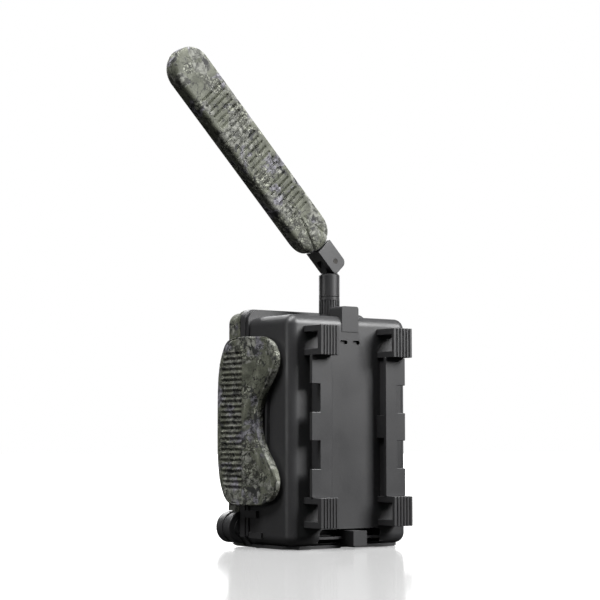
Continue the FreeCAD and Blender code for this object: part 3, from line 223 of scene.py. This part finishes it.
cell_print = add(cell_sleeve, "ShaderNodeVectorMath", {0: cell_tint.outputs[2], 3: cell_worn.outputs[0]},
                 operation="SCALE")
feed(cell_shader, Base_Color=cell_print.outputs[0])
dress(cell_sleeve, "batteries")
dress(black_abs, "battery_tray", "battery_cover", "modem_cover", "dc_jack", "coax_pigtail", "image_sensor",
      "lens_holder", "lens_barrel", "tact_switches")


# ---- circuit boards -----------------------------------------------------------------------------
# Radio board, main board, lamp board and the antenna's radiator, cut from one glass-epoxy laminate.
# Green solder mask over etched copper: half gloss, with the tracks raised and a shade lighter.
board_mask, board_shader = shaded("green_solder_mask", "#1f4a33", Roughness=0.35)
board_place = add(board_mask, "ShaderNodeTexCoord").outputs["Object"]
board_tracks = add(board_mask, "ShaderNodeTexVoronoi", {"Vector": board_place, "Scale": 1 / (2.2 * MM)},
                   feature="DISTANCE_TO_EDGE")
board_etch = add(board_mask, "ShaderNodeMapRange", {0: board_tracks.outputs["Distance"], 1: 0.05, 2: 0.12})
board_tint = add(board_mask, "ShaderNodeMix",
                 {0: board_etch.outputs[0], 6: linear("#2f6b49"), 7: linear("#1b4430")}, data_type="RGBA")
board_relief = add(board_mask, "ShaderNodeBump",
                   {"Height": board_etch.outputs[0], "Distance": 0.03 * MM, "Strength": 0.4}, invert=True)
feed(board_shader, Base_Color=board_tint.outputs[2], Normal=board_relief.outputs[0])
dress(board_mask, "modem_board", "main_board", "led_board", "antenna_radiator")


# ---- antenna base and elbow ---------------------------------------------------------------------
# Knurled nut, barrel and elbow, moulded in nylon, and the steel pin of the folding joint.
# Black nylon with its natural half gloss and a slow drift of shade.
black_nylon = grained("black_moulded_nylon", "#29292a", "#222223", 0.4, 0.7 * MM, 0.025 * MM, IOR=1.53)
# Steel turned brown-black in a hot bath, worn lighter along its drawn marks.
dress(metal("blackened_steel", "#2c2b2a", "#3d3c3a", 0.38, 0.5 * MM, 3.0), "antenna_pin")
rounded("antenna_nut", black_nylon, 0.2)
rounded("antenna_base", black_nylon, 0.35)
rounded("antenna_elbow", black_nylon, 0.4)


# ---- camouflage film ----------------------------------------------------------------------------
# Cover, latch and paddle are ABS dipped through a floating printed film and then lacquered matt. The
# print overlaps bark, flat leaf shapes, lichen crusts and violet shadows, with dark cracks between.
# Every layer is read from the same place, pushed about by a swirl as the film is when it wraps.
SWIRL_SIZE, SWIRL_PUSH = 9.0, 7.0
camo_film, camo_shader = shaded("dipped_bark_camouflage_film", "#6c6d67", Roughness=0.6, IOR=1.48,
                                Specular_IOR_Level=0.3)
camo_place = add(camo_film, "ShaderNodeTexCoord").outputs["Object"]
camo_swirl = add(camo_film, "ShaderNodeTexNoise",
                 {"Vector": camo_place, "Scale": 1 / (SWIRL_SIZE * MM), "Detail": 3.0}).outputs["Color"]
camo_shift = add(camo_film, "ShaderNodeVectorMath",
                 {0: camo_swirl, 1: (SWIRL_PUSH * MM,) * 3, 2: camo_place},
                 operation="MULTIPLY_ADD").outputs[0]


def blotches(size, low, high, offset, detail=3.0):
    """Share of a layer of film at each place: 1 inside irregular shapes about size mm across, 0 outside
    them. low and high set how soft their outline is, and offset moves the layer so that no two fall
    together."""
    moved = add(camo_film, "ShaderNodeMapping",
                {"Vector": camo_shift, "Location": (offset, 1.7 * offset, -offset)})
    cloud = add(camo_film, "ShaderNodeTexNoise",
                {"Vector": moved.outputs[0], "Scale": 1 / (size * MM), "Detail": detail, "Roughness": 0.55})
    return add(camo_film, "ShaderNodeMapRange", {0: cloud.outputs[0], 1: low, 2: high}).outputs[0]


def laid(under, over, share):
    """The film's colour after a layer of colour over is laid on colour under, by share."""
    return add(camo_film, "ShaderNodeMix", {0: share, 6: under, 7: over}, data_type="RGBA").outputs[2]


def product(first, second):
    """Share where two layers both are."""
    return add(camo_film, "ShaderNodeMath", {0: first, 1: second}, operation="MULTIPLY").outputs[0]


# Bark ground, flat leaf shapes on it, and violet shadow over both.
camo_bark = laid(linear("#2f302b"), linear("#7b7c75"), blotches(2.8, 0.4, 0.62, 0.0, 6.0))
camo_leaf = blotches(14, 0.505, 0.515, 0.11, 2.0)
camo_green = laid(linear("#45473d"), linear("#5a5c51"), blotches(8, 0.4, 0.6, 0.9))
camo_cover = laid(camo_bark, camo_green, camo_leaf)
camo_violet = laid(linear("#353439"), linear("#7d7c82"), blotches(2.6, 0.4, 0.64, 0.31, 5.0))
camo_cover = laid(camo_cover, camo_violet, blotches(17, 0.56, 0.6, 0.47))
# Lichen: pale tufts in the cells of a crust, dark between them.
camo_cells = add(camo_film, "ShaderNodeTexVoronoi", {"Vector": camo_shift, "Scale": 1 / (2.0 * MM)},
                 feature="DISTANCE_TO_EDGE").outputs["Distance"]
camo_crust = add(camo_film, "ShaderNodeMapRange", {0: camo_cells, 1: 0.03, 2: 0.16}).outputs[0]
camo_lichen = blotches(13, 0.55, 0.6, 0.73)
camo_cover = laid(camo_cover, linear("#24251f"), camo_lichen)
camo_tuft = laid(linear("#484941"), linear("#898b7f"), blotches(2.6, 0.4, 0.6, 0.19, 2.0))
camo_cover = laid(camo_cover, camo_tuft, product(camo_crust, camo_lichen))
# Cracks run where a cloud passes through its middle value, and knots are dark spots.
camo_fold = add(camo_film, "ShaderNodeTexNoise",
                {"Vector": camo_shift, "Scale": 1 / (6 * MM), "Detail": 4.0}).outputs[0]
camo_level = add(camo_film, "ShaderNodeMath", {0: camo_fold, 1: 0.5}, operation="SUBTRACT").outputs[0]
camo_reach = add(camo_film, "ShaderNodeMath", {0: camo_level}, operation="ABSOLUTE").outputs[0]
camo_crack = add(camo_film, "ShaderNodeMapRange",
                 {0: camo_reach, 1: 0.008, 2: 0.022, 3: 1.0, 4: 0.0}).outputs[0]
camo_cover = laid(camo_cover, linear("#1b1c18"), product(camo_crack, blotches(10, 0.44, 0.5, 0.59)))
camo_cover = laid(camo_cover, linear("#252625"), blotches(7, 0.62, 0.64, 0.83))
# Fine flecks of the print, which the lacquer only half hides.
camo_fleck = add(camo_film, "ShaderNodeTexNoise",
                 {"Vector": camo_place, "Scale": 1 / (0.9 * MM), "Detail": 2.0}).outputs[0]
camo_speck = add(camo_film, "ShaderNodeMapRange",
                 {0: camo_fleck, 1: 0.3, 2: 0.7, 3: 0.78, 4: 1.24}).outputs[0]
camo_print = add(camo_film, "ShaderNodeVectorMath", {0: camo_cover, 3: camo_speck}, operation="SCALE")
camo_gloss = add(camo_film, "ShaderNodeMapRange", {0: camo_fold, 1: 0.3, 2: 0.7, 3: 0.55, 4: 0.68})
camo_bump = add(camo_film, "ShaderNodeBump", {"Height": camo_fleck, "Distance": 0.02 * MM, "Strength": 0.4})
feed(camo_shader, Base_Color=camo_print.outputs[0], Roughness=camo_gloss.outputs[0],
     Normal=camo_bump.outputs[0])


# ---- front cover --------------------------------------------------------------------------------
# Shallow camouflage cover with round sensor pods at its lower corners. The pods' caps and plugs are
# charcoal, the lens ring black, and a dome of milky polyethylene focuses heat on the motion sensor.
rounded("door_shell", camo_film, 0.5)
rounded("pod_caps", charcoal_abs, 0.3)
rounded("pod_discs", charcoal_abs, 0.2)
rounded("lens_bezel", black_abs, 0.3)
rounded("door_panel", black_abs, 0.3)

# Ground glass with a thin vapour coat, which tints what it mirrors blue.
lens_coating = shaded("coated_optical_glass", "#ffffff", Roughness=0.02, IOR=1.52, Transmission_Weight=1.0,
                      Coat_Weight=0.6, Coat_Tint=linear("#8fa6d8"))[0]
dress(lens_coating, "lens_glass", "display_window")
# Acrylic cast with a dye that stops visible light: near black, faintly red, with a slight haze.
smoked_window, window_shader = shaded("smoked_acrylic", "#170c12", Roughness=0.08, IOR=1.49,
                                      Coat_Weight=0.3)
window_place = add(smoked_window, "ShaderNodeTexCoord").outputs["Object"]
window_haze = add(smoked_window, "ShaderNodeTexNoise",
                  {"Vector": window_place, "Scale": 1 / (9 * MM), "Detail": 5.0})
window_gloss = add(smoked_window, "ShaderNodeMapRange",
                   {0: window_haze.outputs[0], 1: 0.4, 2: 0.7, 3: 0.05, 4: 0.13})
feed(window_shader, Roughness=window_gloss.outputs[0])
dress(smoked_window, "ir_window")
# Clear epoxy cast round each lamp, faintly lilac.
lamp_epoxy = shaded("clear_lamp_epoxy", "#d9d6e2", Roughness=0.12, IOR=1.54, Transmission_Weight=0.7)[0]
dress(lamp_epoxy, "ir_leds")

# Thin polyethylene pressed with facets that each focus heat: milky, with grooved seams between them painted darker
# as painted shade.
sensor_film, sensor_shader = shaded("milky_polyethylene_film", "#b9bab4", Roughness=0.42, IOR=1.51,
                                    Subsurface_Weight=0.25, Subsurface_Scale=2 * MM)
sensor_place = add(sensor_film, "ShaderNodeTexCoord").outputs["Object"]
sensor_facets = add(sensor_film, "ShaderNodeTexVoronoi", {"Vector": sensor_place, "Scale": 1 / (4.2 * MM)},
                    feature="DISTANCE_TO_EDGE")
sensor_seam_groove_and_shade = add(sensor_film, "ShaderNodeMapRange",
                  {0: sensor_facets.outputs["Distance"], 1: 0.0, 2: 0.12})
# Painted shade: the colour darkens into the grooves of the seams.
sensor_tint = add(sensor_film, "ShaderNodeMix",
                  {0: sensor_seam_groove_and_shade.outputs[0], 6: linear("#8d8e89"), 7: linear("#bcbdb7")}, data_type="RGBA")
sensor_bump = add(sensor_film, "ShaderNodeBump", {"Height": sensor_seam_groove_and_shade.outputs[0], "Distance": 0.3 * MM})
feed(sensor_shader, Base_Color=sensor_tint.outputs[2], Normal=sensor_bump.outputs[0])
dress(sensor_film, "pir_lens")


# ---- screen, keys and cards ---------------------------------------------------------------------
# Behind the door: a dark colour screen, five round silicone-over-ABS keys, a slide switch, and two
# plain cards in pressed steel sockets.
# Cover glass over a dark screen: nearly black, with a faint cloudy drift and an uneven polish.
screen_glass = grained("dark_screen_glass", "#0b0d10", "#11141a", 0.12, 1.4 * MM, 0.0, drift=12 * MM,
                       spread=0.03)
dress(screen_glass, "display_module")
# Pale grey ABS of the keys, satin from the tool.
key_abs = grained("pale_key_abs", "#8d8e8b", "#7d7e7b", 0.42, 0.6 * MM, 0.02 * MM, drift=5 * MM)
dress(black_abs, "sd_card")
dress(key_abs, "sim_card")
for key in ("button_up", "button_down", "button_left", "button_right", "button_ok", "power_switch"):
    rounded(key, key_abs, 0.3)


# ---- side latch ---------------------------------------------------------------------------------
# One-piece lever in the camouflage film: a bulged grip with moulded finger ribs, and a thin rear flap
# whose waist is stiffened by two raised folds. It turns on a steel pin through two lugs of the cover.
LEVER_WAIST = 4.8                                  # where the rear edge is at mid height
LEVER_TOP = (-9.0, 2.0)                            # ends of the flat top and bottom edges
LEVER_LOBE = 0.72                                  # height of the lobes, as a share of half the lever
GRIP_CREST, GRIP_BULGE = 54.3, 0.1                 # the grip's outside, and its fall 10 mm from its crest
GRIP_MIDDLE, GRIP_END, FLAP_START = -17.0, -5.0, 4.0
FLAP_TOP, FLAP_FLARE = 48.6, 0.6
RIB_PITCH, RIB_DEPTH, RIB_REACH = 3.12, 1.0, 41.0  # finger ribs, to this far above and below the middle
EDGE_ROUND, NOSE_MORE = 1.0, 2.3                   # edge radius, and how much is added to it at the nose
FOLD_IN, FOLD_WIDE, FOLD_HIGH = 1.6, 1.1, 1.1      # fold along the waist, from the rear edge
DIP_IN, DIP_WIDE, DIP_DEEP = 4.4, 1.4, 0.9         # valley beside it
RIDGE_Y, RIDGE_SWING, RIDGE_WIDE, RIDGE_HIGH = -3.0, 8.0, 1.5, 1.0   # second fold, bowed towards the grip
LINE_IN, LINE_WIDE, LINE_DEEP = 1.3, 0.35, 0.45    # thin line inside the grip's rim
LUG_APART, LUG_HALF, LUG_ROUND = 30.0, 4.4, 3.4    # lug pockets: from the middle, half height and radius
POCKET_AHEAD, POCKET_SIDE, POCKET_PAST = 8.0, 1.8, 3.0
BORE_ROUND, BORE_SPARE = 1.56, 0.3
HARD_EDGE = math.radians(38)


def ease(value, start, end):
    """0 before start and 1 after end, turning smoothly between them."""
    share = np.clip((value - start) / (end - start), 0, 1)
    return share * share * (3 - 2 * share)


def hump(value, centre, width):
    """A smooth bump of height 1 at centre."""
    return np.exp(-(((value - centre) / width) ** 2))


def mesh_piece(name, points, faces, material, node):
    """A piece from points in mm and faces: doubles merged, faces turned outwards, hard edges kept."""
    mesh = bpy.data.meshes.new(name)
    mesh.from_pydata((np.asarray(points) * MM).tolist(), [], faces)
    shape = bmesh.new()
    shape.from_mesh(mesh)
    bmesh.ops.remove_doubles(shape, verts=shape.verts, dist=0.004 * MM)
    bmesh.ops.recalc_face_normals(shape, faces=shape.faces)
    shape.to_mesh(mesh)
    shape.free()
    mesh.materials.append(material)
    mesh.shade_smooth()
    mesh.set_sharp_from_angle(angle=HARD_EDGE)
    piece = bpy.data.objects.new(name, mesh)
    bpy.context.scene.collection.objects.link(piece)
    if node:
        on_body(piece, node)
    return piece


def grid_faces(rows, columns, ring=False):
    """Quads between the points of a grid given row by row; ring joins the last column to the first."""
    across = columns if ring else columns - 1
    row, column = np.meshgrid(np.arange(rows - 1), np.arange(across), indexing="ij")
    here, after = row * columns + column, row * columns + (column + 1) % columns
    return np.stack([here, after, after + columns, here + columns], -1).reshape(-1, 4).tolist()


def crowded(count, share):
    """Numbers from -1 to 1, closer together near both ends; share is how much closer."""
    even = np.linspace(-1, 1, count)
    return (1 - share) * even + share * np.sin(even * math.pi / 2)


def lever_front(height):
    """Front edge by height, -1 to 1: a superellipse from the nose round into the flat top and bottom."""
    return LEVER_TOP[0] - (LEVER_TOP[0] - lever_low[1]) * (1 - np.abs(height) ** 4) ** 0.4


def lever_rear(height):
    """Rear edge by height: a cosine swells it from waist to lobes, and an ellipse rounds them off."""
    swell = np.clip(np.abs(height) / LEVER_LOBE, 0, 1) ** 1.25
    lobe = LEVER_WAIST + (lever_high[1] - LEVER_WAIST) * (1 - np.cos(math.pi * swell)) / 2
    end = np.clip((np.abs(height) - LEVER_LOBE) / (1 - LEVER_LOBE), 0, 1)
    return LEVER_TOP[1] + (lobe - LEVER_TOP[1]) * np.sqrt(1 - end ** 2)


def edge_distance(y, z, outline):
    """Distance of each point to the nearest point of an outline."""
    gaps = [np.hypot(y - a, z - b) for a, b in outline]
    return np.minimum.reduce(gaps)


# The skin is a height over the side plane on a grid that follows both edges: crest and fall of the grip,
# a ramp down to the flap, less a cosine for the ribs, plus bell curves for the folds and less one for the
# valley and the rim line, and a quarter circle off all round the edge.
lever_low, lever_high = (np.array(corner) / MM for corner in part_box("latch"))
lever_mid, lever_half = (lever_low[2] + lever_high[2]) / 2, (lever_high[2] - lever_low[2]) / 2
lever_height = crowded(331, 0.85)[:, None]
lever_across = (crowded(121, 0.8)[None, :] + 1) / 2
lever_y = lever_front(lever_height) + (lever_rear(lever_height) - lever_front(lever_height)) * lever_across
lever_z = np.broadcast_to(lever_height * lever_half, lever_y.shape)
rim_height = np.sin(np.linspace(-math.pi / 2, math.pi / 2, 240))
rim = np.concatenate([np.stack([lever_front(rim_height), rim_height * lever_half], 1),
                      np.stack([lever_rear(rim_height), rim_height * lever_half], 1),
                      *(np.stack([np.linspace(*LEVER_TOP, 40), np.full(40, side * lever_half)], 1)
                        for side in (-1, 1))])
lever_inset = edge_distance(lever_y, lever_z, rim)
lever_back = lever_rear(lever_height) - lever_y
lever_away = np.abs(lever_z)
edge_round = EDGE_ROUND + NOSE_MORE * ease(-lever_y, 20, 29)
waist = 1 - ease(lever_away, 22, 38)
ribbed = ease(lever_y - lever_front(lever_height), 5.0, 6.6) * (1 - ease(lever_y, GRIP_END - 1, GRIP_END))
ribbed = ribbed * (1 - ease(lever_away, RIB_REACH - 0.4, RIB_REACH + 0.4))
lever_x = GRIP_CREST - GRIP_BULGE * ((lever_y - GRIP_MIDDLE) / 10) ** 2
lever_x = lever_x + (FLAP_TOP - lever_x) * ease(lever_y, GRIP_END, FLAP_START)
lever_x = lever_x + FLAP_FLARE * ease(lever_y, 9, 22)
lever_x = lever_x - RIB_DEPTH * ribbed * (0.5 - 0.5 * np.cos(2 * math.pi * lever_z / RIB_PITCH))
lever_x = lever_x + FOLD_HIGH * waist * hump(lever_back, FOLD_IN, FOLD_WIDE)
lever_x = lever_x - DIP_DEEP * waist * hump(lever_back, DIP_IN, DIP_WIDE)
ridge = hump(lever_y, RIDGE_Y + RIDGE_SWING * ease(lever_away, 0, 32), RIDGE_WIDE)
lever_x = lever_x + RIDGE_HIGH * ridge * (1 - ease(np.abs(lever_z + 2), 22, 38))
lever_x = lever_x - LINE_DEEP * hump(lever_inset, LINE_IN, LINE_WIDE) * (1 - ease(lever_y, -14, -8))
depth = np.clip(1 - lever_inset / edge_round, 0, 1)
lever_x = lever_x - edge_round * (1 - np.sqrt(1 - depth ** 2))
lever_skin = np.stack([lever_x, lever_y, lever_z + lever_mid], -1)
rows, columns = lever_y.shape
loop = np.concatenate([np.arange(columns), np.arange(1, rows) * columns + columns - 1,
                       (rows - 1) * columns + np.arange(columns - 2, -1, -1),
                       np.arange(rows - 2, 0, -1) * columns])
pin_low, pin_high = (np.array(corner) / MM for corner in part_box("latch_pin"))
pin_x, pin_y = (pin_low[:2] + pin_high[:2]) / 2
# The inner face is flat as far as the pin and then curves round it, so that the nose clears the cover.
nose = pin_x - lever_low[0]
nose_drop = np.clip(pin_y - lever_y, 0, nose)
lever_inner = np.stack([pin_x - np.sqrt(nose ** 2 - nose_drop ** 2), lever_y, lever_z + lever_mid], -1)
base = rows * columns
ahead = np.roll(loop, -1)
lever_faces = grid_faces(rows, columns)
lever_faces += (np.array(grid_faces(rows, columns))[:, ::-1] + base).tolist()
lever_faces += np.stack([ahead, loop, base + loop, base + ahead], 1).tolist()
lever_points = np.concatenate([lever_skin, lever_inner]).reshape(-1, 3)
latch = mesh_piece("latch_lever", lever_points, lever_faces, camo_film, "latch")


def prism(profile, low, high):
    """Points and faces of an upright prism over a plan outline."""
    count = len(profile)
    points = np.concatenate([np.column_stack([profile, np.full(count, level)]) for level in (low, high)])
    sides = [[i, (i + 1) % count, count + (i + 1) % count, count + i] for i in range(count)]
    return points, sides + [list(range(count))[::-1], list(range(count, 2 * count))]


# The pockets for the cover's lugs are cut out of the lever, open towards the cover, and so is the bore.
pocket_turn = np.linspace(math.radians(-58), math.radians(90), 20)
pocket = [(lever_low[0] - POCKET_PAST, pin_y - POCKET_AHEAD), (pin_x + POCKET_SIDE, pin_y - POCKET_AHEAD)]
pocket += [(pin_x + LUG_ROUND * math.cos(a), pin_y + LUG_ROUND * math.sin(a)) for a in pocket_turn]
pocket += [(lever_low[0] - POCKET_PAST, pin_y + LUG_ROUND)]
circle = np.linspace(0, 2 * math.pi, 33)[:-1]
bore = [(pin_x + BORE_ROUND * math.cos(a), pin_y + BORE_ROUND * math.sin(a)) for a in circle]
cuts = [(pocket, lever_mid + side * LUG_APART - LUG_HALF, lever_mid + side * LUG_APART + LUG_HALF)
        for side in (-1, 1)]
cuts.append((bore, pin_low[2] - BORE_SPARE, pin_high[2] + BORE_SPARE))
for outline, low, high in cuts:
    points, faces = prism(np.array(outline), low, high)
    cutter = mesh_piece("cutter", points, faces, camo_film, None)
    cut = latch.modifiers.new("cut", "BOOLEAN")
    cut.operation, cut.solver, cut.object = "DIFFERENCE", "EXACT", cutter
    bpy.context.view_layer.update()
    whittled = bpy.data.meshes.new_from_object(latch.evaluated_get(bpy.context.evaluated_depsgraph_get()))
    latch.modifiers.clear()
    bpy.data.objects.remove(cutter)
    latch.data = whittled
latch.data.name = "latch_lever"
latch.data.set_sharp_from_angle(angle=HARD_EDGE)


# ---- paddle antenna -----------------------------------------------------------------------------
# Two moulded ABS half shells in the camouflage film, welded along their edge. Each face has fine
# cross grooves, and a conical socket that swallows the elbow's spigot.
PADDLE_HALF, PADDLE_DEEP, PADDLE_WALL, PADDLE_RIM = 13.0, 5.5, 1.8, 3.0
PADDLE_TIP, PADDLE_ROOT, PADDLE_FOOT = 144.0, 27.0, 12.2   # centres of the round tip and root; the foot
ROOT_POWER = 2 / 2.6                                       # superellipse at the root, squarer than the tip
PADDLE_STEPS = 310
GROOVE_FIRST, GROOVE_COUNT, GROOVE_PITCH = 39.0, 24, 3.83
GROOVE_DEPTH, GROOVE_HALF = 0.9, 8.8
SOCKET_TIP, SOCKET_HALF, SOCKET_RISE = 37.0, 7.0, 1.1
PADDLE_LEAN = math.radians(44)
tilt = next(joint for joint in frame["joints"] if joint["name"] == "antenna_tilt")
pivot = np.array(tilt["pos_m"]) / MM

# The outline runs up one side, round the tip, down the other and round the root: s is the distance from
# the fold along the paddle, and t is across it.
end_turn = np.linspace(0, math.pi, 61)[1:-1]
straight = np.linspace(PADDLE_ROOT, PADDLE_TIP, PADDLE_STEPS)
beside = np.full(PADDLE_STEPS, PADDLE_HALF)
round_root = np.sign(np.cos(end_turn)) * np.abs(np.cos(end_turn)) ** ROOT_POWER
paddle_s = np.concatenate([straight, PADDLE_TIP + PADDLE_HALF * np.sin(end_turn), straight[::-1],
                           PADDLE_ROOT - (PADDLE_ROOT - PADDLE_FOOT) * np.sin(end_turn) ** ROOT_POWER])
paddle_t = np.concatenate([beside, PADDLE_HALF * np.cos(end_turn), -beside, -PADDLE_HALF * round_root])
spine_s = np.clip(paddle_s, PADDLE_ROOT, PADDLE_TIP)

# The section runs from the middle of the face out to the rim, down the wall to the weld and back inside,
# and shrinks the outline onto its spine. The face is raised by the socket's half cone, and lowered by a
# crease beside it and by a bell curve at each groove.
face_in = ((1 - np.cos(np.linspace(0, math.pi / 2, 34))) * PADDLE_HALF)[::-1]
rim_fall = PADDLE_RIM * (1 - np.sqrt(1 - np.clip(1 - face_in / PADDLE_RIM, 0, 1) ** 2))
inner_in = np.array([PADDLE_WALL, PADDLE_WALL, PADDLE_WALL + 1.2, PADDLE_HALF])
section_in = np.concatenate([face_in, [0.0, 0.35], inner_in])
section_up = np.concatenate([PADDLE_DEEP - rim_fall, [0.5, 0.0], [0.0, PADDLE_DEEP - PADDLE_WALL - 1.2],
                             [PADDLE_DEEP - PADDLE_WALL] * 2])
share = (section_in / PADDLE_HALF)[:, None]
at_s = paddle_s + (spine_s - paddle_s) * share
at_t = paddle_t * (1 - share)
up = np.broadcast_to(section_up[:, None], at_s.shape).copy()
outside = (np.arange(len(section_in)) < len(face_in))[:, None]
step = (at_s - GROOVE_FIRST) / GROOVE_PITCH
grooved = hump((step - np.round(step)) * GROOVE_PITCH, 0, 0.5) * (np.round(step) >= 0) * (
    np.round(step) < GROOVE_COUNT) * (1 - ease(np.abs(at_t), GROOVE_HALF - 0.8, GROOVE_HALF))
socket_half = SOCKET_HALF * np.clip((SOCKET_TIP - at_s) / (SOCKET_TIP - PADDLE_FOOT), 0, 1) + 0.01
socket = np.sqrt(np.clip(1 - (at_t / socket_half) ** 2, 0, 1))
socket = socket * np.minimum(socket_half / SOCKET_HALF * 1.4, 1)
crease = hump(np.abs(at_t), socket_half + 0.4, 0.5) * (socket_half > 0.8)
up = up + outside * (SOCKET_RISE * socket - 0.4 * crease - GROOVE_DEPTH * grooved)
paddle_x = pivot[0] + at_s * math.sin(PADDLE_LEAN) + at_t * math.cos(PADDLE_LEAN)
paddle_z = pivot[2] + at_s * math.cos(PADDLE_LEAN) - at_t * math.sin(PADDLE_LEAN)
for side, node in ((1, "paddle_rear"), (-1, "paddle_front")):
    paddle = np.stack([paddle_x, pivot[1] + side * up, paddle_z], -1).reshape(-1, 3)
    mesh_piece(f"{node}_shell", paddle, grid_faces(*at_s.shape, ring=True), camo_film, node)


# ---- studio -------------------------------------------------------------------------------------
# A pale glossy sheet in a white room. The main softbox is high up on the right and lights the rear wall,
# so that the latch side falls away; weaker ones stand above, on the latch side and on the lens side, and a
# weak soft sun shines straight down.
VIEW_ANGLE, VIEW_DISTANCE, EYE_HEIGHT = math.radians(38), 1.0464, 0.0604
BACK_WALL = 0.028
AIM = (-0.028, 0.0807)       # sideways and upward tangent of the lens axis
LENS, SENSOR = 107.3, 36.0   # mm
FLOOR_HALF, WALL_AWAY, WALL_FOOT, WALL_HEAD = 8.0, 11.4, -0.1, 5.0
FLOOR_GLOW, FLOOR_FAR_GLOW = 0.34, 1.05    # light of the sheet itself, near the object and far from it

# Acrylic sheet that glows more with distance: a soft mirror near the object, plain white beyond. Its glow
# neither lights the plastic nor shows in its gloss.
floor_paint, floor_shader = shaded("satin_pale_acrylic_sheet", "#8a8a8a", Roughness=0.12,
                                   Specular_IOR_Level=0.7, Emission_Color=(1.0, 1.0, 1.0, 1.0))
floor_place = add(floor_paint, "ShaderNodeTexCoord").outputs["Object"]
floor_cloud = add(floor_paint, "ShaderNodeTexNoise", {"Vector": floor_place, "Scale": 30.0, "Detail": 3.0})
floor_tone = add(floor_paint, "ShaderNodeMix",
                 {0: floor_cloud.outputs[0], 6: linear("#8c8c8c"), 7: linear("#888888")}, data_type="RGBA")
floor_gloss = add(floor_paint, "ShaderNodeMapRange", {0: floor_cloud.outputs[0], 3: 0.1, 4: 0.14})
floor_far = add(floor_paint, "ShaderNodeVectorMath", {0: floor_place}, operation="LENGTH").outputs["Value"]
floor_glow = add(floor_paint, "ShaderNodeMapRange",
                 {0: floor_far, 1: 0.5, 2: 2.2, 3: FLOOR_GLOW, 4: FLOOR_FAR_GLOW})
feed(floor_shader, Emission_Strength=floor_glow.outputs[0], Base_Color=floor_tone.outputs[2],
     Roughness=floor_gloss.outputs[0])

sheet = np.array([(-1, -1, 0), (1, -1, 0), (1, 1, 0), (-1, 1, 0)]) * FLOOR_HALF / MM
floor = mesh_piece("studio_floor", sheet, [(0, 1, 2, 3)], floor_paint, None)
floor.visible_diffuse = False
floor.visible_glossy = False

# White paper far behind the object, hidden from the camera: it is there for the sheet and the plastic to
# mirror.
wall_paper = shaded("lit_white_backdrop_paper", "#f4f4f4", Roughness=0.9,
                    Emission_Color=(1.0, 1.0, 1.0, 1.0), Emission_Strength=1.4)[0]
across = np.array([-math.cos(VIEW_ANGLE), math.sin(VIEW_ANGLE), 0.0])
behind = np.array([-math.sin(VIEW_ANGLE), -math.cos(VIEW_ANGLE), 0.0])
wall_corners = [((behind + across * side) * WALL_AWAY + (0, 0, height)) / MM for side, height in
                ((-1, WALL_FOOT), (1, WALL_FOOT), (1, WALL_HEAD), (-1, WALL_HEAD))]
wall = mesh_piece("studio_backdrop", wall_corners, [(0, 1, 2, 3)], wall_paper, None)
wall.visible_camera = False
wall.visible_diffuse = False
wall.visible_shadow = False


def softbox(name, place, target, size, power):
    """Square daylight softbox at place, facing target."""
    lamp = bpy.data.lights.new(name, "AREA")
    lamp.shape, lamp.size, lamp.energy = "SQUARE", size, power
    holder = bpy.data.objects.new(name, lamp)
    holder.location = place
    holder.rotation_euler = (Vector(target) - Vector(place)).to_track_quat("-Z", "Y").to_euler()
    bpy.context.scene.collection.objects.link(holder)


softbox("key_box", (-0.75, 1.3, 1.0), (0, 0, 0.1), 0.9, 70.0)
softbox("top_box", (0.1, 0.1, 1.4), (0, 0, 0.1), 0.5, 16.0)
softbox("side_box", (0.85, 0.2, 1.3), (0, 0, 0.1), 0.5, 22.0)
softbox("low_box", (1.7, -0.3, 0.25), (0, 0, 0.05), 0.6, 4.0)
softbox("front_box", (-0.3, -1.5, 0.8), (0, 0, 0.1), 0.9, 12.0)
sky = bpy.data.lights.new("sky", "SUN")
sky.energy, sky.angle = 1.0, math.radians(70)
sky_holder = bpy.data.objects.new("sky", sky)
bpy.context.scene.collection.objects.link(sky_holder)

world = bpy.data.worlds.new("white_room")
world.use_nodes = True
room = world.node_tree.nodes["Background"]
room.inputs["Color"].default_value = (1, 1, 1, 1)
room.inputs["Strength"].default_value = 0.05
backdrop = world.node_tree.nodes.new("ShaderNodeBackground")
backdrop.inputs["Color"].default_value = (1, 1, 1, 1)
seen = world.node_tree.nodes.new("ShaderNodeLightPath")
either = world.node_tree.nodes.new("ShaderNodeMixShader")
world.node_tree.links.new(seen.outputs["Is Camera Ray"], either.inputs[0])
world.node_tree.links.new(room.outputs[0], either.inputs[1])
world.node_tree.links.new(backdrop.outputs[0], either.inputs[2])
world.node_tree.links.new(either.outputs[0], world.node_tree.nodes["World Output"].inputs[0])
bpy.context.scene.world = world
bpy.context.scene.view_settings.view_transform = "Standard"

lens = bpy.data.cameras.new("camera")
lens.lens, lens.sensor_width = LENS, SENSOR
camera = bpy.data.objects.new("camera", lens)
outward = Vector((math.sin(VIEW_ANGLE), math.cos(VIEW_ANGLE), 0))
rightward = Vector((-math.cos(VIEW_ANGLE), math.sin(VIEW_ANGLE), 0))
camera.location = outward * VIEW_DISTANCE + Vector((0, BACK_WALL, EYE_HEIGHT))
looking = -outward + rightward * AIM[0] + Vector((0, 0, AIM[1]))
camera.rotation_mode = "QUATERNION"
camera.rotation_quaternion = looking.to_track_quat("-Z", "Y")
bpy.context.scene.collection.objects.link(camera)
bpy.context.scene.camera = camera
